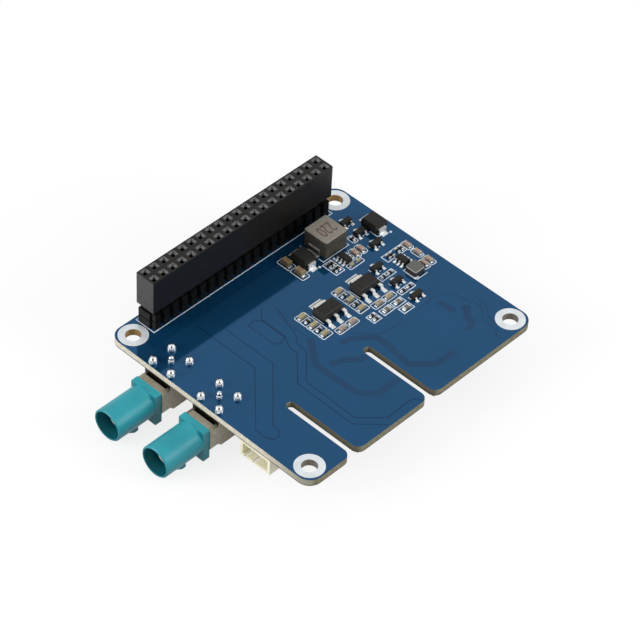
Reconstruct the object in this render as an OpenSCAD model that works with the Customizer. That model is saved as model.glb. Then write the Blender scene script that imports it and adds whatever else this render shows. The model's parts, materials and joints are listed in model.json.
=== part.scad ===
// Expansion board with two coaxial camera ports, a tall pin socket and two ribbon-cable slots.
// Sizes are in millimetres. The origin is the centre of the four mounting holes on the socket side of
// the board. +Z points out of that side and +X runs along the pin socket, away from the coaxial ports.

/* [Board] */
// Length of the board along the pin socket
board_l = 65; // [65:0.5:74]
// Width of the board across the pin socket
board_w = 56; // [56:0.5:62]
// Thickness of the board
board_t = 1.6; // [1:0.1:2.4]
// Radius of the board's corners
corner_r = 3; // [1:0.5:3.5]
// Spacing of the mounting holes along the board
hole_span_x = 58; // [56:0.5:58]
// Spacing of the mounting holes across the board
hole_span_y = 49; // [48:0.5:49]
// Diameter of a mounting hole
hole_d = 3.4; // [2.5:0.1:3.6]

/* [Ribbon slots] */
// Width of a ribbon slot
slot_w = 2; // [1.2:0.1:2.6]
// Length of a ribbon slot from the edge to its round end
slot_l = 18.2; // [17:0.1:19]
// Place of the slot nearer the coaxial ports
slot_1_x = -20.1; // [-21:0.1:-19.5]
// Place of the slot at the middle of the board
slot_2_x = 1.85; // [1:0.05:2.5]
// Rounding where a slot opens to the board's edge
slot_mouth_r = 1.8; // [0.5:0.1:2.4]

/* [Pin socket] */
// Number of pins in each of the two rows
pin_columns = 20; // [10:1:20]
// Pitch of the pins
pin_pitch = 2.54; // [2:0.02:2.54]
// Width of a square pin
pin_w = 0.64; // [0.5:0.02:0.7]
// Width of the pin socket's housing
header_w = 4.8; // [4.8:0.1:5.4]
// Height of the pin socket's housing
header_body_h = 8.2; // [7:0.1:11]
// Height of each spacer strip below the housing
spacer_h = 1.95; // [1.5:0.05:3]
// Gap between the upper spacer strip and the housing
spacer_gap = 0.9; // [0.1:0.05:1.2]
// Length of a pin tail below the board
tail_l = 1.3; // [0.8:0.1:2]

/* [Coaxial ports] */
// Spacing of the two ports along the board's edge
port_pitch = 13.5; // [11:0.1:14]
// Place of the first port along the board's edge
port_1_y = 13.8; // [13:0.1:14.5]
// Depth of a port's axis below the board
port_drop = 3.9; // [3.7:0.1:4.5]
// Distance from the board's edge to the open end of a port
port_reach = 13.7; // [12.5:0.1:16]
// Outer diameter of a port's barrel
barrel_d = 7.2; // [7:0.1:7.4]
// Wall of a port's barrel
barrel_wall = 0.5; // [0.35:0.05:0.7]
// Width of the square collar behind the barrel
collar_w = 6.9; // [6.6:0.1:7.6]
// Thickness of the collar along the port
collar_t = 1.7; // [1.2:0.1:2.4]
// Spacing of the four posts that hold a port to the board
post_pitch = 5.08; // [4.6:0.02:5.4]
// Diameter of a post
post_d = 1.3; // [0.9:0.1:1.5]

/* [Wire socket] */
// Number of wires that the socket takes
wire_ways = 3; // [2:1:4]
// Pitch of the wires
wire_pitch = 2; // [1.5:0.1:2]
// Height of the wire socket
wire_h = 4.05; // [3.6:0.05:5]
// Depth of the wire socket from its mouth to its back
wire_depth = 6; // [5.2:0.1:7]
// Place of the wire socket's centre along the board's edge
wire_y = -13.4; // [-15:0.1:-12.5]

/* [Ribbon sockets] */
// Number of contacts in a ribbon socket
ribbon_ways = 15; // [10:1:15]
// Pitch of the ribbon's contacts
ribbon_pitch = 1; // [0.8:0.1:1]
// Height of a ribbon socket
ribbon_h = 2.7; // [2.2:0.1:3.2]
// Depth of a ribbon socket across its length
ribbon_depth = 4.6; // [4:0.1:5]

/* [Power parts] */
// Length and width of the power inductor
choke_w = 6.4; // [6:0.1:7]
// Height of the power inductor
choke_h = 4.5; // [4:0.1:6]
// Length and width of the small inductor
coil_w = 3; // [2.6:0.1:3.2]
// Height of the small inductor
coil_h = 1.5; // [1.2:0.1:2]
// Distance between the two regulator circuits
circuit_pitch = 10.6; // [10.4:0.1:11]
// Height of a regulator
regulator_h = 1.7; // [1.4:0.1:2]
// Height of a power diode
diode_h = 2.3; // [2:0.1:2.6]

/* [Hidden] */
$fn = 48;

// Overlap that makes a cut pass right through a face
cut = 1;
// Gap left round a piece that slides or is pressed into another
fit = 0.05;
// Thickness of bent sheet metal in leads and clips
lead_t = 0.25;

// Board faces and edges
under = -board_t;
edge_x = -board_l / 2;
edge_y = -board_w / 2;

// Pin socket places
header_shift = 0.4;
header_y = hole_span_y / 2 + header_shift;
header_l = pin_columns * pin_pitch;
spacer_inset = 0.5;
spacer_seam = 0.12;
housing_z = 2 * spacer_h + spacer_gap;
header_top = housing_z + header_body_h;
cavity_w = 1.5;
mouth_w = 1.55;
throat_w = pin_w + 0.06;
funnel_h = 0.55;
notch_w = 1.1;
notch_depth = 1.1;
pin_hole_d = pin_w * sqrt(2) + 2 * fit;
chamber_roof = 0.3;
chamber_top = header_top - funnel_h - chamber_roof;
leaf_t = 0.22;
leaf_w = 1;
leaf_base_h = 1.2;
leaf_gap = 0.2;
tail_solder_r = 0.85;
tail_solder_h = 0.75;
tail_solder_waist = [0.6, 0.3];
tail_solder_tip = 0.5;

// Coaxial port places and sizes
port_in = 3.7;
port_x = edge_x + port_in;
port_z = under - port_drop;
barrel_r = barrel_d / 2;
bore_r = barrel_r - barrel_wall;
mouth_x = edge_x - port_reach;
flange_t = 2.2;
collar_x = edge_x - flange_t;
port_l = collar_x - mouth_x;
barrel_l = port_l - collar_t;
lip = 0.2;
collar_top = 3.3;
collar_bottom = 4.4;
snout_l = 3;
sleeve_r = 1.9;
core_r = 1.45;
pin_r = 0.45;
sleeve_recess = 2.5;
insulator_recess = 7;
pin_recess = 5.6;
ramp_w = 3.8;
ramp_out = 1.05;
ramp_start = 4;
ramp_end = 6.6;
ramp_flat = 1;
flange_bottom = 3.4;
flange_bevel = 1.3;
flange_top_bevel = [0.95, 0.55];
shell_half = 3.6;
shell_end = 1.3;
shell_back = port_x + post_pitch / 2 + shell_end;
shell_bottom = 3;
shell_bevel = 0.9;
shell_r = 2.4;
groove_w = 0.7;
groove_wall = 0.7;
groove_depth = 1.5;
post_out = 1;
pin_out = 1.1;
post_solder = [1.02, 1.5];
pin_solder = [0.8, 1.7];
post_curve = [[1, 0], [0.96, 0.25], [0.85, 0.5], [0.68, 0.72], [0.45, 0.9], [0, 1]];
pin_curve = [[1, 0], [0.98, 0.2], [0.88, 0.42], [0.7, 0.6], [0.64, 0.82], [0.45, 0.95], [0, 1]];

// Wire socket places
wire_wall = 0.6;
wire_end = 1.975;
wire_w = (wire_ways - 1) * wire_pitch + 2 * wire_end;
wire_back = 1.6;
wire_pin_w = 0.5;
wire_pin_inset = 1;
wire_pin_turn = 0.3;
wire_pin_foot = 1;
tongue_w = 1.8;
tongue_l = 2.8;
tongue_slot = 0.5;
tongue_side = 0.5;
wire_tab_x = 1.8;
wire_tab_l = 2.4;
wire_tab_h = 1.9;
wire_tab_foot = 1;

// Ribbon socket places
ribbon_end = 2.2;
ribbon_l = (ribbon_ways - 1) * ribbon_pitch + 2 * ribbon_end;
ribbon_edge_gap = 2;
ribbon_y = edge_y + ribbon_edge_gap + ribbon_l / 2;
ribbon_gap_x = 2.2;
ribbon_side = 1;
ribbon_back = 1.1;
ribbon_floor = 0.8;
ribbon_mouth_h = 0.75;
ribbon_chamfer = 0.5;
comb_w = 0.4;
comb_x = 0.9;
comb_z = 1.1;
arm_w = 0.3;
arm_x = 1.4;
arm_z = 1.62;
ribbon_foot = 0.9;
ribbon_tab_w = 1.2;
ribbon_tab_h = 1;
ribbon_tab_inset = 0.3;
ribbon_at = [slot_1_x + slot_w / 2 + ribbon_gap_x, slot_2_x + slot_w / 2 + ribbon_gap_x];

// Places of the parts on the socket side: [x, y, turn], where turn 0 lies along X and 90 along Y
circuit_x = 3.75;
circuits = [circuit_x, circuit_x + circuit_pitch];
regulator_y = 2.15;
choke_at = [17.6, 16.45];
coil_at = [25.35, -1.65];
diode_at = [[10.7, 16, 90], [28.95, 13.35, 90]];
transistor_at = [[25.35, 18.1, 0], [25.35, 14, 0], [25.3, 9.4, 0],
    for (y = [4.3, -1.3, -6.8]) [20.2, y, 0]];
switch_chip_at = [[17.4, 10.65, 0], [25.7, 2.1, 0]];
column_pitch = 1.6;
column_top = 4.75;
column_x = -4.95;
bulk_at = [[7.75, 17.85, 90], [7.75, 14, 90]];
tan_at = [for (c = circuits) each [
        for (row = [0, 2, 4]) [c + column_x, column_top - row * column_pitch, 0],
        for (dx = [-1.5, 1.5]) [c + dx, -3.2, 0]]];
rose_at = [[20.2, 10.4, 90], [21.9, 10.4, 90], [29.8, 4.7, 90], [29.75, 1.65, 90],
    [28.3, -1.45, 90], [29.85, -1.45, 90]];
resistor_at = [[12.8, -5.5, 0], [16.15, -5.5, 0], [16.15, -7.85, 0]];
small_resistor_at = [for (c = circuits) each [
        for (row = [1, 3]) [c + column_x, column_top - row * column_pitch, 0]],
    for (y = [-4.65, -5.8]) [circuits[1] + column_x, y, 0],
    for (x = [24.4, 25.5, 27.1, 28.2]) [x, 4.9, 90],
    for (x = [13.45, 14.5]) for (y = [11.4, 9.7]) [x, y, 90],
    for (x = [19.35, 21.2]) for (y = [1.5, -3.95]) [x, y, 0],
    [22.95, 13.7, 90]];
small_capacitor_at = [for (x = [17.2, 19.05]) [x, 8.35, 0]];

// Sizes of chip parts: [length, width, height, length of a metal end]; the core is a step smaller
core_step = 0.02;
size_bulk = [2, 1.25, 1.25, 0.4];
size_large = [1.6, 0.85, 0.8, 0.28];
size_thin = [1.6, 0.85, 0.5, 0.28];
size_small = [1.2, 0.65, 0.4, 0.22];
size_small_tall = [1, 0.5, 0.5, 0.2];

// Inductors
choke_r = 0.5;
choke_bevel = 0.15;
choke_clip_w = 3;
choke_clip_h = 1.7;
choke_clip_in = 1.6;
choke_clip_out = 0.6;
coil_r = 0.4;
coil_cap_t = 0.45;
coil_cap_step = 0.075;
coil_end_l = 1;
coil_end_out = 0.15;
coil_end_step = 0.3;

// Regulators: body, leads in front and tab behind
regulator_w = 5.9;
regulator_depth = 3.5;
regulator_reach = 1.75;
regulator_rise = 0.9;
regulator_foot = 0.8;
regulator_pitch = 2.3;
regulator_lead_w = 0.7;
regulator_tab_w = 3;
regulator_draft = [0.5, 0.25];
regulator_line = 0.75;

// Power diodes
diode_l = 4.3;
diode_w = 3.6;
diode_draft = [0.3, 0.3];
diode_line = 1.05;
diode_clip_w = 2;
diode_clip_in = 0.9;
diode_clip_out = 0.5;

// Small moulded parts: gap under the body, draft, and the leads' bend
chip_stand = 0.08;
chip_draft = [0.14, 0.14];
chip_lead_t = 0.14;
chip_reach = 0.6;
chip_foot = 0.3;
chip_pitch = 0.95;
transistor_l = 2.9;
transistor_w = 1.3;
transistor_h = 0.95;
transistor_lead_w = 0.42;
switch_w = 1.6;
switch_l = 2.9;
switch_h = 1;
switch_lead_w = 0.38;

// Places on the hidden side
receiver_at = [-13, 6];
receiver_w = 9;
receiver_h = 0.85;
receiver_pads = 16;
receiver_pitch = 0.5;
pad_w = 0.25;
pad_l = 0.6;
pad_out = 0.1;
pad_t = 0.1;
crystal_at = [-4, 9];
crystal_l = 3.2;
crystal_w = 2.5;
crystal_h = 0.85;
crystal_base_t = 0.4;
crystal_rim = 0.2;
underside_at = [for (x = [-17, -15, -13, -11, -9]) [x, 12.6, 90], for (x = [-17, -13, -9]) [x, -0.6, 90]];

// Moves its children to the place and turn of every entry in a list
module at_each(places)
    for (p = places) translate([p[0], p[1], 0]) rotate(p[2]) children();

// Turns its children over to hang from the hidden side
module below() translate([0, 0, under]) mirror([0, 0, 1]) children();

// Rectangle with round corners, centred
module round_rect(l, w, r) {
    square([l - 2 * r, w], center = true);
    square([l, w - 2 * r], center = true);
    for (sx = [-1, 1], sy = [-1, 1]) translate([sx * (l / 2 - r), sy * (w / 2 - r)]) circle(r);
}

// Moulded block: size at its parting line, narrower above and below by draft, which is [along l, along w]
module moulded(l, w, h, draft, line) intersection() {
    rotate([90, 0, 0]) linear_extrude(w + cut, center = true) polygon(draft_outline(l, h, draft[0], line));
    rotate([90, 0, 90]) linear_extrude(l + cut, center = true) polygon(draft_outline(w, h, draft[1], line));
}
function draft_outline(l, h, draft, line) = [
    [-l / 2 + draft * line / h, 0], [l / 2 - draft * line / h, 0], [l / 2, line],
    [l / 2 - draft, h], [-l / 2 + draft, h], [-l / 2, line]];

// Solid whose two side views, along X and along Y, are both the given outline
module for_both_ways(l) intersection() {
    rotate([90, 0, 0]) linear_extrude(l, center = true) children();
    rotate([90, 0, 90]) linear_extrude(l, center = true) children();
}

// Gull-wing lead running out along +X from a body's side: side view, drawn as one band of lead_t
module gull_lead(w, reach, rise, foot, t = lead_t)
    rotate([90, 0, 0]) linear_extrude(w, center = true) polygon([
        [0, rise], [0, rise - t], [reach - foot - t, rise - t], [reach - foot, 0], [reach, 0],
        [reach, t], [reach - foot + t / 2, t], [reach - foot - t / 3, rise]]);

// Ceramic or resistor block between its two metal ends
module chip_core(size)
    translate([-size[0] / 2 + size[3], -size[1] / 2 + core_step, core_step])
        cube([size[0] - 2 * size[3], size[1] - 2 * core_step, size[2] - 2 * core_step]);
module chip_ends(size)
    for (side = [-1, 1]) translate([side * (size[0] - size[3]) / 2, 0, size[2] / 2])
        cube([size[3], size[1], size[2]], center = true);

// Circuit board
module slot_2d(x) translate([x, edge_y]) {
    depth = slot_l - slot_w / 2;
    translate([-slot_w / 2, -cut]) square([slot_w, depth + cut]);
    translate([0, depth]) circle(slot_w / 2);
    for (side = [0, 1]) mirror([side, 0]) translate([slot_w / 2, 0]) difference() {
        translate([-slot_w / 4, -cut]) square([slot_mouth_r + slot_w / 4, slot_mouth_r + cut]);
        translate([slot_mouth_r, slot_mouth_r]) circle(slot_mouth_r);
    }
}
function port_y(k) = port_1_y - k * port_pitch;
function pin_column_x(i) = (i - (pin_columns - 1) / 2) * pin_pitch;
module socket_pins_at()
    for (i = [0 : pin_columns - 1], row = [-0.5, 0.5])
        translate([pin_column_x(i), header_y + row * pin_pitch, 0]) children();
module posts_at()
    for (sx = [-0.5, 0.5], sy = [-0.5, 0.5]) translate([sx * post_pitch, sy * post_pitch, 0]) children();

module circuit_board()
    color("#2a5074") translate([0, 0, under]) linear_extrude(board_t) difference() {
        round_rect(board_l, board_w, corner_r);
        for (sx = [-1, 1], sy = [-1, 1]) translate([sx * hole_span_x / 2, sy * hole_span_y / 2])
            circle(d = hole_d);
        slot_2d(slot_1_x);
        slot_2d(slot_2_x);
        socket_pins_at() circle(d = pin_hole_d);
        for (k = [0, 1]) translate([port_x, port_y(k)]) {
            posts_at() circle(d = post_d + 4 * fit);
            circle(r = pin_r + 3 * fit);
        }
    }

// Pin socket: a housing with forty funnel mouths over chambers that hold fork contacts
module funnel() for_both_ways(2 * mouth_w) polygon(funnel_side());
function funnel_side() = [[-throat_w / 2, -funnel_h], [throat_w / 2, -funnel_h],
    [mouth_w / 2, 0], [mouth_w / 2, cut], [-mouth_w / 2, cut], [-mouth_w / 2, 0]];

module header_housing() color("#26272a") difference() {
    translate([-header_l / 2, header_y - header_w / 2, housing_z]) cube([header_l, header_w, header_body_h]);
    socket_pins_at() {
        translate([0, 0, header_top]) funnel();
        post(throat_w, chamber_top - cut, header_top - funnel_h + fit);
        post(cavity_w, housing_z - cut, chamber_top);
    }
}
// Square post of a given width between two heights
module post(w, z0, z1) translate([-w / 2, -w / 2, z0]) cube([w, w, z1 - z0]);

// Spacer strip with a hole for each pin, notches between the pins and at both ends, and a stepped upper edge
module spacer_strip(z) difference() {
    translate([-header_l / 2, header_y - header_w / 2, z]) {
        cube([header_l, header_w - spacer_inset, spacer_h - spacer_seam]);
        translate([spacer_seam, spacer_seam, 0])
            cube([header_l - 2 * spacer_seam, header_w - spacer_inset - 2 * spacer_seam, spacer_h]);
    }
    socket_pins_at() post(pin_w + 2 * fit, z - cut, z + spacer_h + cut);
    for (i = [0 : pin_columns])
        translate([pin_column_x(i - 0.5) - notch_w / 2, header_y - header_w / 2 - cut, z - cut])
            cube([notch_w, notch_depth + cut, spacer_h + 2 * cut]);
}
module header_spacer_lower() color("#1f2022") spacer_strip(0);
module header_spacer_upper() color("#1f2022") spacer_strip(spacer_h);

// Fork contact: two leaves on a base inside the chamber, and a square tail through the board
module header_contacts() color("#c9a94e") socket_pins_at() {
    base_top = housing_z + leaf_base_h;
    post(pin_w, under - tail_l, housing_z);
    post(cavity_w - 2 * fit, housing_z, base_top);
    for (side = [-1, 1])
        translate([-leaf_w / 2, side * (cavity_w / 2 - fit - leaf_t / 2) - leaf_t / 2, base_top])
            cube([leaf_w, leaf_t, chamber_top - leaf_gap - base_top]);
}

// Solder cone round a square pin tail on the hidden side
module header_solder() color("#c3c7ca") socket_pins_at() below() difference() {
    rotate_extrude($fn = 24) polygon([[0, 0], [tail_solder_r, 0], tail_solder_waist,
        [tail_solder_tip, tail_solder_h], [0, tail_solder_h]]);
    post(pin_w, -cut, tail_solder_h + cut);
}

// Coaxial port: everything is drawn about the port's axis, with +Z towards the open end and +X upwards
module port_axis(k, x) translate([x, port_y(k), port_z]) rotate([0, -90, 0]) children();

module port_housing(k) color("#3fa0ae") port_axis(k, collar_x) difference() {
    union() {
        translate([0, 0, collar_t]) rotate_extrude() polygon([[0, 0], [barrel_r, 0],
            [barrel_r, barrel_l - lip], [barrel_r - lip, barrel_l], [0, barrel_l]]);
        translate([-collar_bottom, -collar_w / 2, 0]) cube([collar_top + collar_bottom, collar_w, collar_t]);
        lock_ramp();
    }
    rotate_extrude() polygon([[0, -cut], [bore_r, -cut], [bore_r, port_l - lip],
        [bore_r + lip / 2, port_l], [bore_r + lip / 2, port_l + cut], [0, port_l + cut]]);
}
// Ramp under the barrel that the plug's latch snaps over
module lock_ramp() rotate([90, 0, 0]) linear_extrude(ramp_w, center = true) polygon([
    [-bore_r, port_l - ramp_end], [-barrel_r - ramp_out, port_l - ramp_end],
    [-barrel_r - ramp_out, port_l - ramp_end + ramp_flat], [-barrel_r, port_l - ramp_start],
    [-bore_r, port_l - ramp_start]]);

// Die-cast shell: a snout inside the collar, a flange, a block under the board and four posts through it
module port_shell(k) color("#8f8b80") difference() {
    union() {
        port_axis(k, collar_x) {
            cylinder(r = bore_r - fit, h = snout_l);
            translate([0, 0, -flange_t]) shell_flange();
        }
        translate([0, port_y(k), port_z - shell_bottom]) difference() {
            linear_extrude(port_drop + shell_bottom) block_outline(edge_x, shell_back);
            translate([edge_x, 0, 0]) rotate([0, 45, 0])
                cube([shell_bevel * sqrt(2), 3 * shell_half, shell_bevel * sqrt(2)], center = true);
        }
        translate([port_x, port_y(k), under]) posts_at()
            cylinder(d = post_d, h = board_t + post_out, $fn = 32);
    }
    port_axis(k, collar_x) cylinder(r = sleeve_r + fit, h = snout_l + cut);
    port_axis(k, port_x + core_r + fit) cylinder(r = core_r + fit, h = port_x - collar_x + core_r + cut);
    translate([port_x, port_y(k), port_z]) cylinder(r = core_r + fit, h = port_drop + cut);
    translate([edge_x - groove_w, port_y(k) - shell_half + groove_wall, port_z + collar_top - groove_depth])
        cube([groove_w, 2 * (shell_half - groove_wall), groove_depth + cut]);
}
// Section of the flange across the port: narrow bevels on top and wide ones below
module shell_flange() {
    side = [[-flange_bottom, shell_half - flange_bevel], [flange_bevel - flange_bottom, shell_half],
        [collar_top - flange_top_bevel[1], shell_half], [collar_top, shell_half - flange_top_bevel[0]]];
    linear_extrude(flange_t) polygon([each side, for (i = [3 : -1 : 0]) [side[i][0], -side[i][1]]]);
}
// Plan of the block: square at the board's edge and round at the back
module block_outline(front, back) {
    translate([front, -shell_half]) square([back - shell_r - front, 2 * shell_half]);
    translate([front, -shell_half + shell_r]) square([back - front, 2 * (shell_half - shell_r)]);
    for (side = [-1, 1]) translate([back - shell_r, side * (shell_half - shell_r)]) circle(shell_r);
}
// Outer contact tube inside the barrel
module port_sleeve(k) color("#b9bcc0") port_axis(k, collar_x) difference() {
    cylinder(r = sleeve_r, h = port_l - sleeve_recess);
    translate([0, 0, -cut]) cylinder(r = core_r + fit, h = port_l);
}
// Elbow of two cylinders that meet on the port's axis, from x_out to the board side at z_top
module elbow(k, r, x_out, z_top) translate([port_x, port_y(k), port_z]) {
    rotate([0, -90, 0]) cylinder(r = r, h = port_x - x_out);
    cylinder(r = r, h = z_top - port_z);
    sphere(r);
}
module port_insulator(k) color("#e9e6dd") difference() {
    elbow(k, core_r, mouth_x + insulator_recess, under);
    elbow(k, pin_r + fit / 2, mouth_x + insulator_recess - cut, under + cut);
}
module port_pin(k) color("#c9a94e") elbow(k, pin_r, mouth_x + pin_recess, pin_out);

module coax_housing_1() port_housing(0);
module coax_housing_2() port_housing(1);
module coax_shell_1() port_shell(0);
module coax_shell_2() port_shell(1);
module coax_sleeve_1() port_sleeve(0);
module coax_sleeve_2() port_sleeve(1);
module coax_insulator_1() port_insulator(0);
module coax_insulator_2() port_insulator(1);
module coax_centre_pin_1() port_pin(0);
module coax_centre_pin_2() port_pin(1);

// Solder domes round the posts and the centre pins on the socket side, each of a given [radius, height]
module solder_dome(curve, size, core_r, core_h) difference() {
    rotate_extrude($fn = 32) polygon([[0, 0], for (p = curve) [p[0] * size[0], p[1] * size[1]]]);
    translate([0, 0, -cut]) cylinder(r = core_r, h = core_h + cut, $fn = 32);
}
module coax_solder() color("#d3d7da") for (k = [0, 1]) translate([port_x, port_y(k), 0]) {
    posts_at() solder_dome(post_curve, post_solder, post_d / 2, post_out);
    solder_dome(pin_curve, pin_solder, pin_r, pin_out);
}

// Wire socket: a hollow ivory box, open to the board's edge, with a latch tongue in its lower wall
module wire_local() translate([edge_x, wire_y, 0]) below() children();
module wire_socket_housing() color("#e3d3a8") wire_local() difference() {
    translate([0, -wire_w / 2, 0]) cube([wire_depth, wire_w, wire_h]);
    translate([-cut, -wire_w / 2 + wire_wall, wire_wall])
        cube([wire_depth - wire_back + cut, wire_w - 2 * wire_wall, wire_h - 2 * wire_wall]);
    for (y = [tongue_slot, 2 * tongue_slot + tongue_w])
        translate([-cut, wire_w / 2 - wire_wall - tongue_side - y, wire_h - wire_wall - cut / 2])
            cube([tongue_l + cut, tongue_slot, wire_wall + cut]);
    wire_pins_at() translate([0, 0, wire_h / 2]) rotate([0, 90, 0])
        cube([wire_pin_w + fit, wire_pin_w + fit, 3 * wire_depth], center = true);
}
module wire_pins_at() for (i = [0 : wire_ways - 1])
    translate([0, (i - (wire_ways - 1) / 2) * wire_pitch, 0]) children();
module wire_socket_pins() color("#c8ccd0") wire_local() wire_pins_at() {
    mid = wire_h / 2;
    half = wire_pin_w / 2;
    back = wire_depth + wire_pin_turn;
    rotate([90, 0, 0]) linear_extrude(wire_pin_w, center = true) polygon([
        [wire_pin_inset, mid - half], [wire_pin_inset, mid + half],
        [back + wire_pin_w, mid + half], [back + wire_pin_w, wire_pin_w],
        [back + wire_pin_w + wire_pin_foot, half], [back + wire_pin_w + wire_pin_foot, 0],
        [back, 0], [back, mid - half]]);
}
// Solder tabs at both ends of the wire socket
module wire_socket_tabs() color("#c8ccd0") wire_local() for (side = [-1, 1])
    translate([wire_tab_x, side * wire_w / 2, 0]) mirror([0, side < 0 ? 1 : 0, 0]) {
        cube([wire_tab_l, lead_t, wire_tab_h]);
        cube([wire_tab_l, wire_tab_foot, lead_t]);
    }

// Ribbon socket: a low box whose mouth faces its slot
module ribbon_local(k) translate([ribbon_at[k], ribbon_y, 0]) below() children();
module ribbon_housing(k) color("#e8e2d2") ribbon_local(k) difference() {
    mouth_top = ribbon_floor + ribbon_mouth_h;
    translate([0, -ribbon_l / 2, 0]) cube([ribbon_depth, ribbon_l, ribbon_h]);
    rotate([90, 0, 0]) linear_extrude(ribbon_l - 2 * ribbon_side, center = true) polygon([
        [-cut, ribbon_floor], [ribbon_depth - ribbon_back, ribbon_floor],
        [ribbon_depth - ribbon_back, mouth_top], [ribbon_chamfer, mouth_top],
        [0, mouth_top + ribbon_chamfer], [-cut, mouth_top + ribbon_chamfer]]);
    for (i = [0 : ribbon_ways - 1]) translate([comb_x, ribbon_way(i) - comb_w / 2, comb_z])
        cube([ribbon_depth, comb_w, ribbon_h]);
}
function ribbon_way(i) = (i - (ribbon_ways - 1) / 2) * ribbon_pitch;
module ribbon_socket_housing_1() ribbon_housing(0);
module ribbon_socket_housing_2() ribbon_housing(1);
// Contact strips: a spring arm in each comb slot, and a foot behind the housing
module ribbon_socket_contacts() color("#c9a94e") for (k = [0, 1]) ribbon_local(k)
    for (i = [0 : ribbon_ways - 1]) translate([0, ribbon_way(i), 0])
        rotate([90, 0, 0]) linear_extrude(arm_w, center = true) polygon([
            [arm_x, arm_z], [arm_x, arm_z + lead_t], [ribbon_depth + lead_t, arm_z + 2 * lead_t],
            [ribbon_depth + lead_t, lead_t], [ribbon_depth + ribbon_foot, lead_t],
            [ribbon_depth + ribbon_foot, 0], [ribbon_depth, 0], [ribbon_depth, arm_z + lead_t]]);
module ribbon_socket_tabs() color("#c8ccd0") for (k = [0, 1]) ribbon_local(k) for (side = [-1, 1])
    translate([ribbon_depth, side * (ribbon_l / 2 - ribbon_tab_inset - ribbon_tab_w / 2), 0])
        translate([0, -ribbon_tab_w / 2, 0]) {
            cube([lead_t, ribbon_tab_w, ribbon_tab_h]);
            cube([ribbon_foot, ribbon_tab_w, lead_t]);
        }

// Power inductor: a square ferrite block with round corners and a bevelled top over two bent terminals
module power_inductor_core() color("#8a847b") translate([choke_at[0], choke_at[1], lead_t]) {
    block_h = choke_h - lead_t;
    intersection() {
        linear_extrude(block_h) round_rect(choke_w, choke_w, choke_r);
        for_both_ways(choke_w + cut) polygon([[-choke_w / 2, 0], [choke_w / 2, 0],
            [choke_w / 2, block_h - choke_bevel], [choke_w / 2 - choke_bevel, block_h],
            [choke_bevel - choke_w / 2, block_h], [-choke_w / 2, block_h - choke_bevel]]);
    }
}
module power_inductor_terminals() color("#c8ccd0") translate([choke_at[0], choke_at[1], 0])
    for (side = [-1, 1]) mirror([side < 0 ? 1 : 0, 0, 0]) {
        translate([choke_w / 2 - choke_clip_in, -choke_clip_w / 2, 0])
            cube([choke_clip_in + choke_clip_out, choke_clip_w, lead_t]);
        translate([choke_w / 2, -choke_clip_w / 2, 0]) cube([lead_t, choke_clip_w, choke_clip_h]);
    }

// Small inductor: a dark base, a grey cap plate and two end terminals
module small_inductor_base() color("#3b3733") translate([coil_at[0], coil_at[1], chip_lead_t])
    linear_extrude(coil_h - coil_cap_t - chip_lead_t) round_rect(coil_w, coil_w, coil_r);
module small_inductor_cap() color("#8d8f92") translate([coil_at[0], coil_at[1], coil_h - coil_cap_t])
    linear_extrude(coil_cap_t) round_rect(coil_w - 2 * coil_cap_step, coil_w - 2 * coil_cap_step, coil_r);
module small_inductor_terminals() color("#c8ccd0") translate([coil_at[0], coil_at[1], chip_lead_t / 2])
    for (side = [-1, 1]) translate([side * (coil_w / 2 + coil_end_out - coil_end_l / 2), 0, 0])
        cube([coil_end_l, coil_w - 2 * coil_end_step, chip_lead_t], center = true);

// Regulators: a moulded body, a wide tab behind and three leads in front
module regulators_at() for (x = circuits) translate([x, regulator_y, 0]) children();
module regulator_bodies() color("#3a3836") regulators_at()
    translate([0, 0, fit])
        moulded(regulator_w, regulator_depth, regulator_h - fit, regulator_draft, regulator_line);
module regulator_leads() color("#c8ccd0") regulators_at() {
    for (i = [-1, 0, 1]) translate([i * regulator_pitch, -regulator_depth / 2, 0])
        rotate(-90) gull_lead(regulator_lead_w, regulator_reach, regulator_rise, regulator_foot);
    translate([0, regulator_depth / 2, 0])
        rotate(90) gull_lead(regulator_tab_w, regulator_reach, regulator_rise, regulator_foot);
}

// Power diodes: a thick moulded body and a wide bent terminal at each end
module diode_bodies() color("#403d3a") at_each(diode_at)
    translate([0, 0, lead_t]) moulded(diode_l, diode_w, diode_h - lead_t, diode_draft, diode_line);
module diode_terminals() color("#c8ccd0") at_each(diode_at) for (turn = [0, 180]) rotate(turn) {
    bend = lead_t + diode_line;
    rotate([90, 0, 0]) linear_extrude(diode_clip_w, center = true) polygon([
        [diode_l / 2 - diode_clip_in, 0], [diode_l / 2 + diode_clip_out, 0],
        [diode_l / 2 + diode_clip_out, bend], [diode_l / 2, bend], [diode_l / 2, bend - lead_t],
        [diode_l / 2 + diode_clip_out - lead_t, bend - lead_t],
        [diode_l / 2 + diode_clip_out - lead_t, lead_t], [diode_l / 2 - diode_clip_in, lead_t]]);
}

// Small transistors: two leads in front and one behind
module transistor_bodies() color("#3a3836") at_each(transistor_at)
    translate([0, 0, chip_stand])
        moulded(transistor_l, transistor_w, transistor_h, chip_draft, transistor_h / 2);
module transistor_leads() color("#c8ccd0") at_each(transistor_at) {
    for (i = [-1, 1]) translate([i * chip_pitch, -transistor_w / 2, 0])
        rotate(-90) chip_lead(transistor_lead_w, transistor_h);
    translate([0, transistor_w / 2, 0]) rotate(90) chip_lead(transistor_lead_w, transistor_h);
}
module chip_lead(w, body_h)
    gull_lead(w, chip_reach, chip_stand + (body_h + chip_lead_t) / 2, chip_foot, chip_lead_t);

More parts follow.
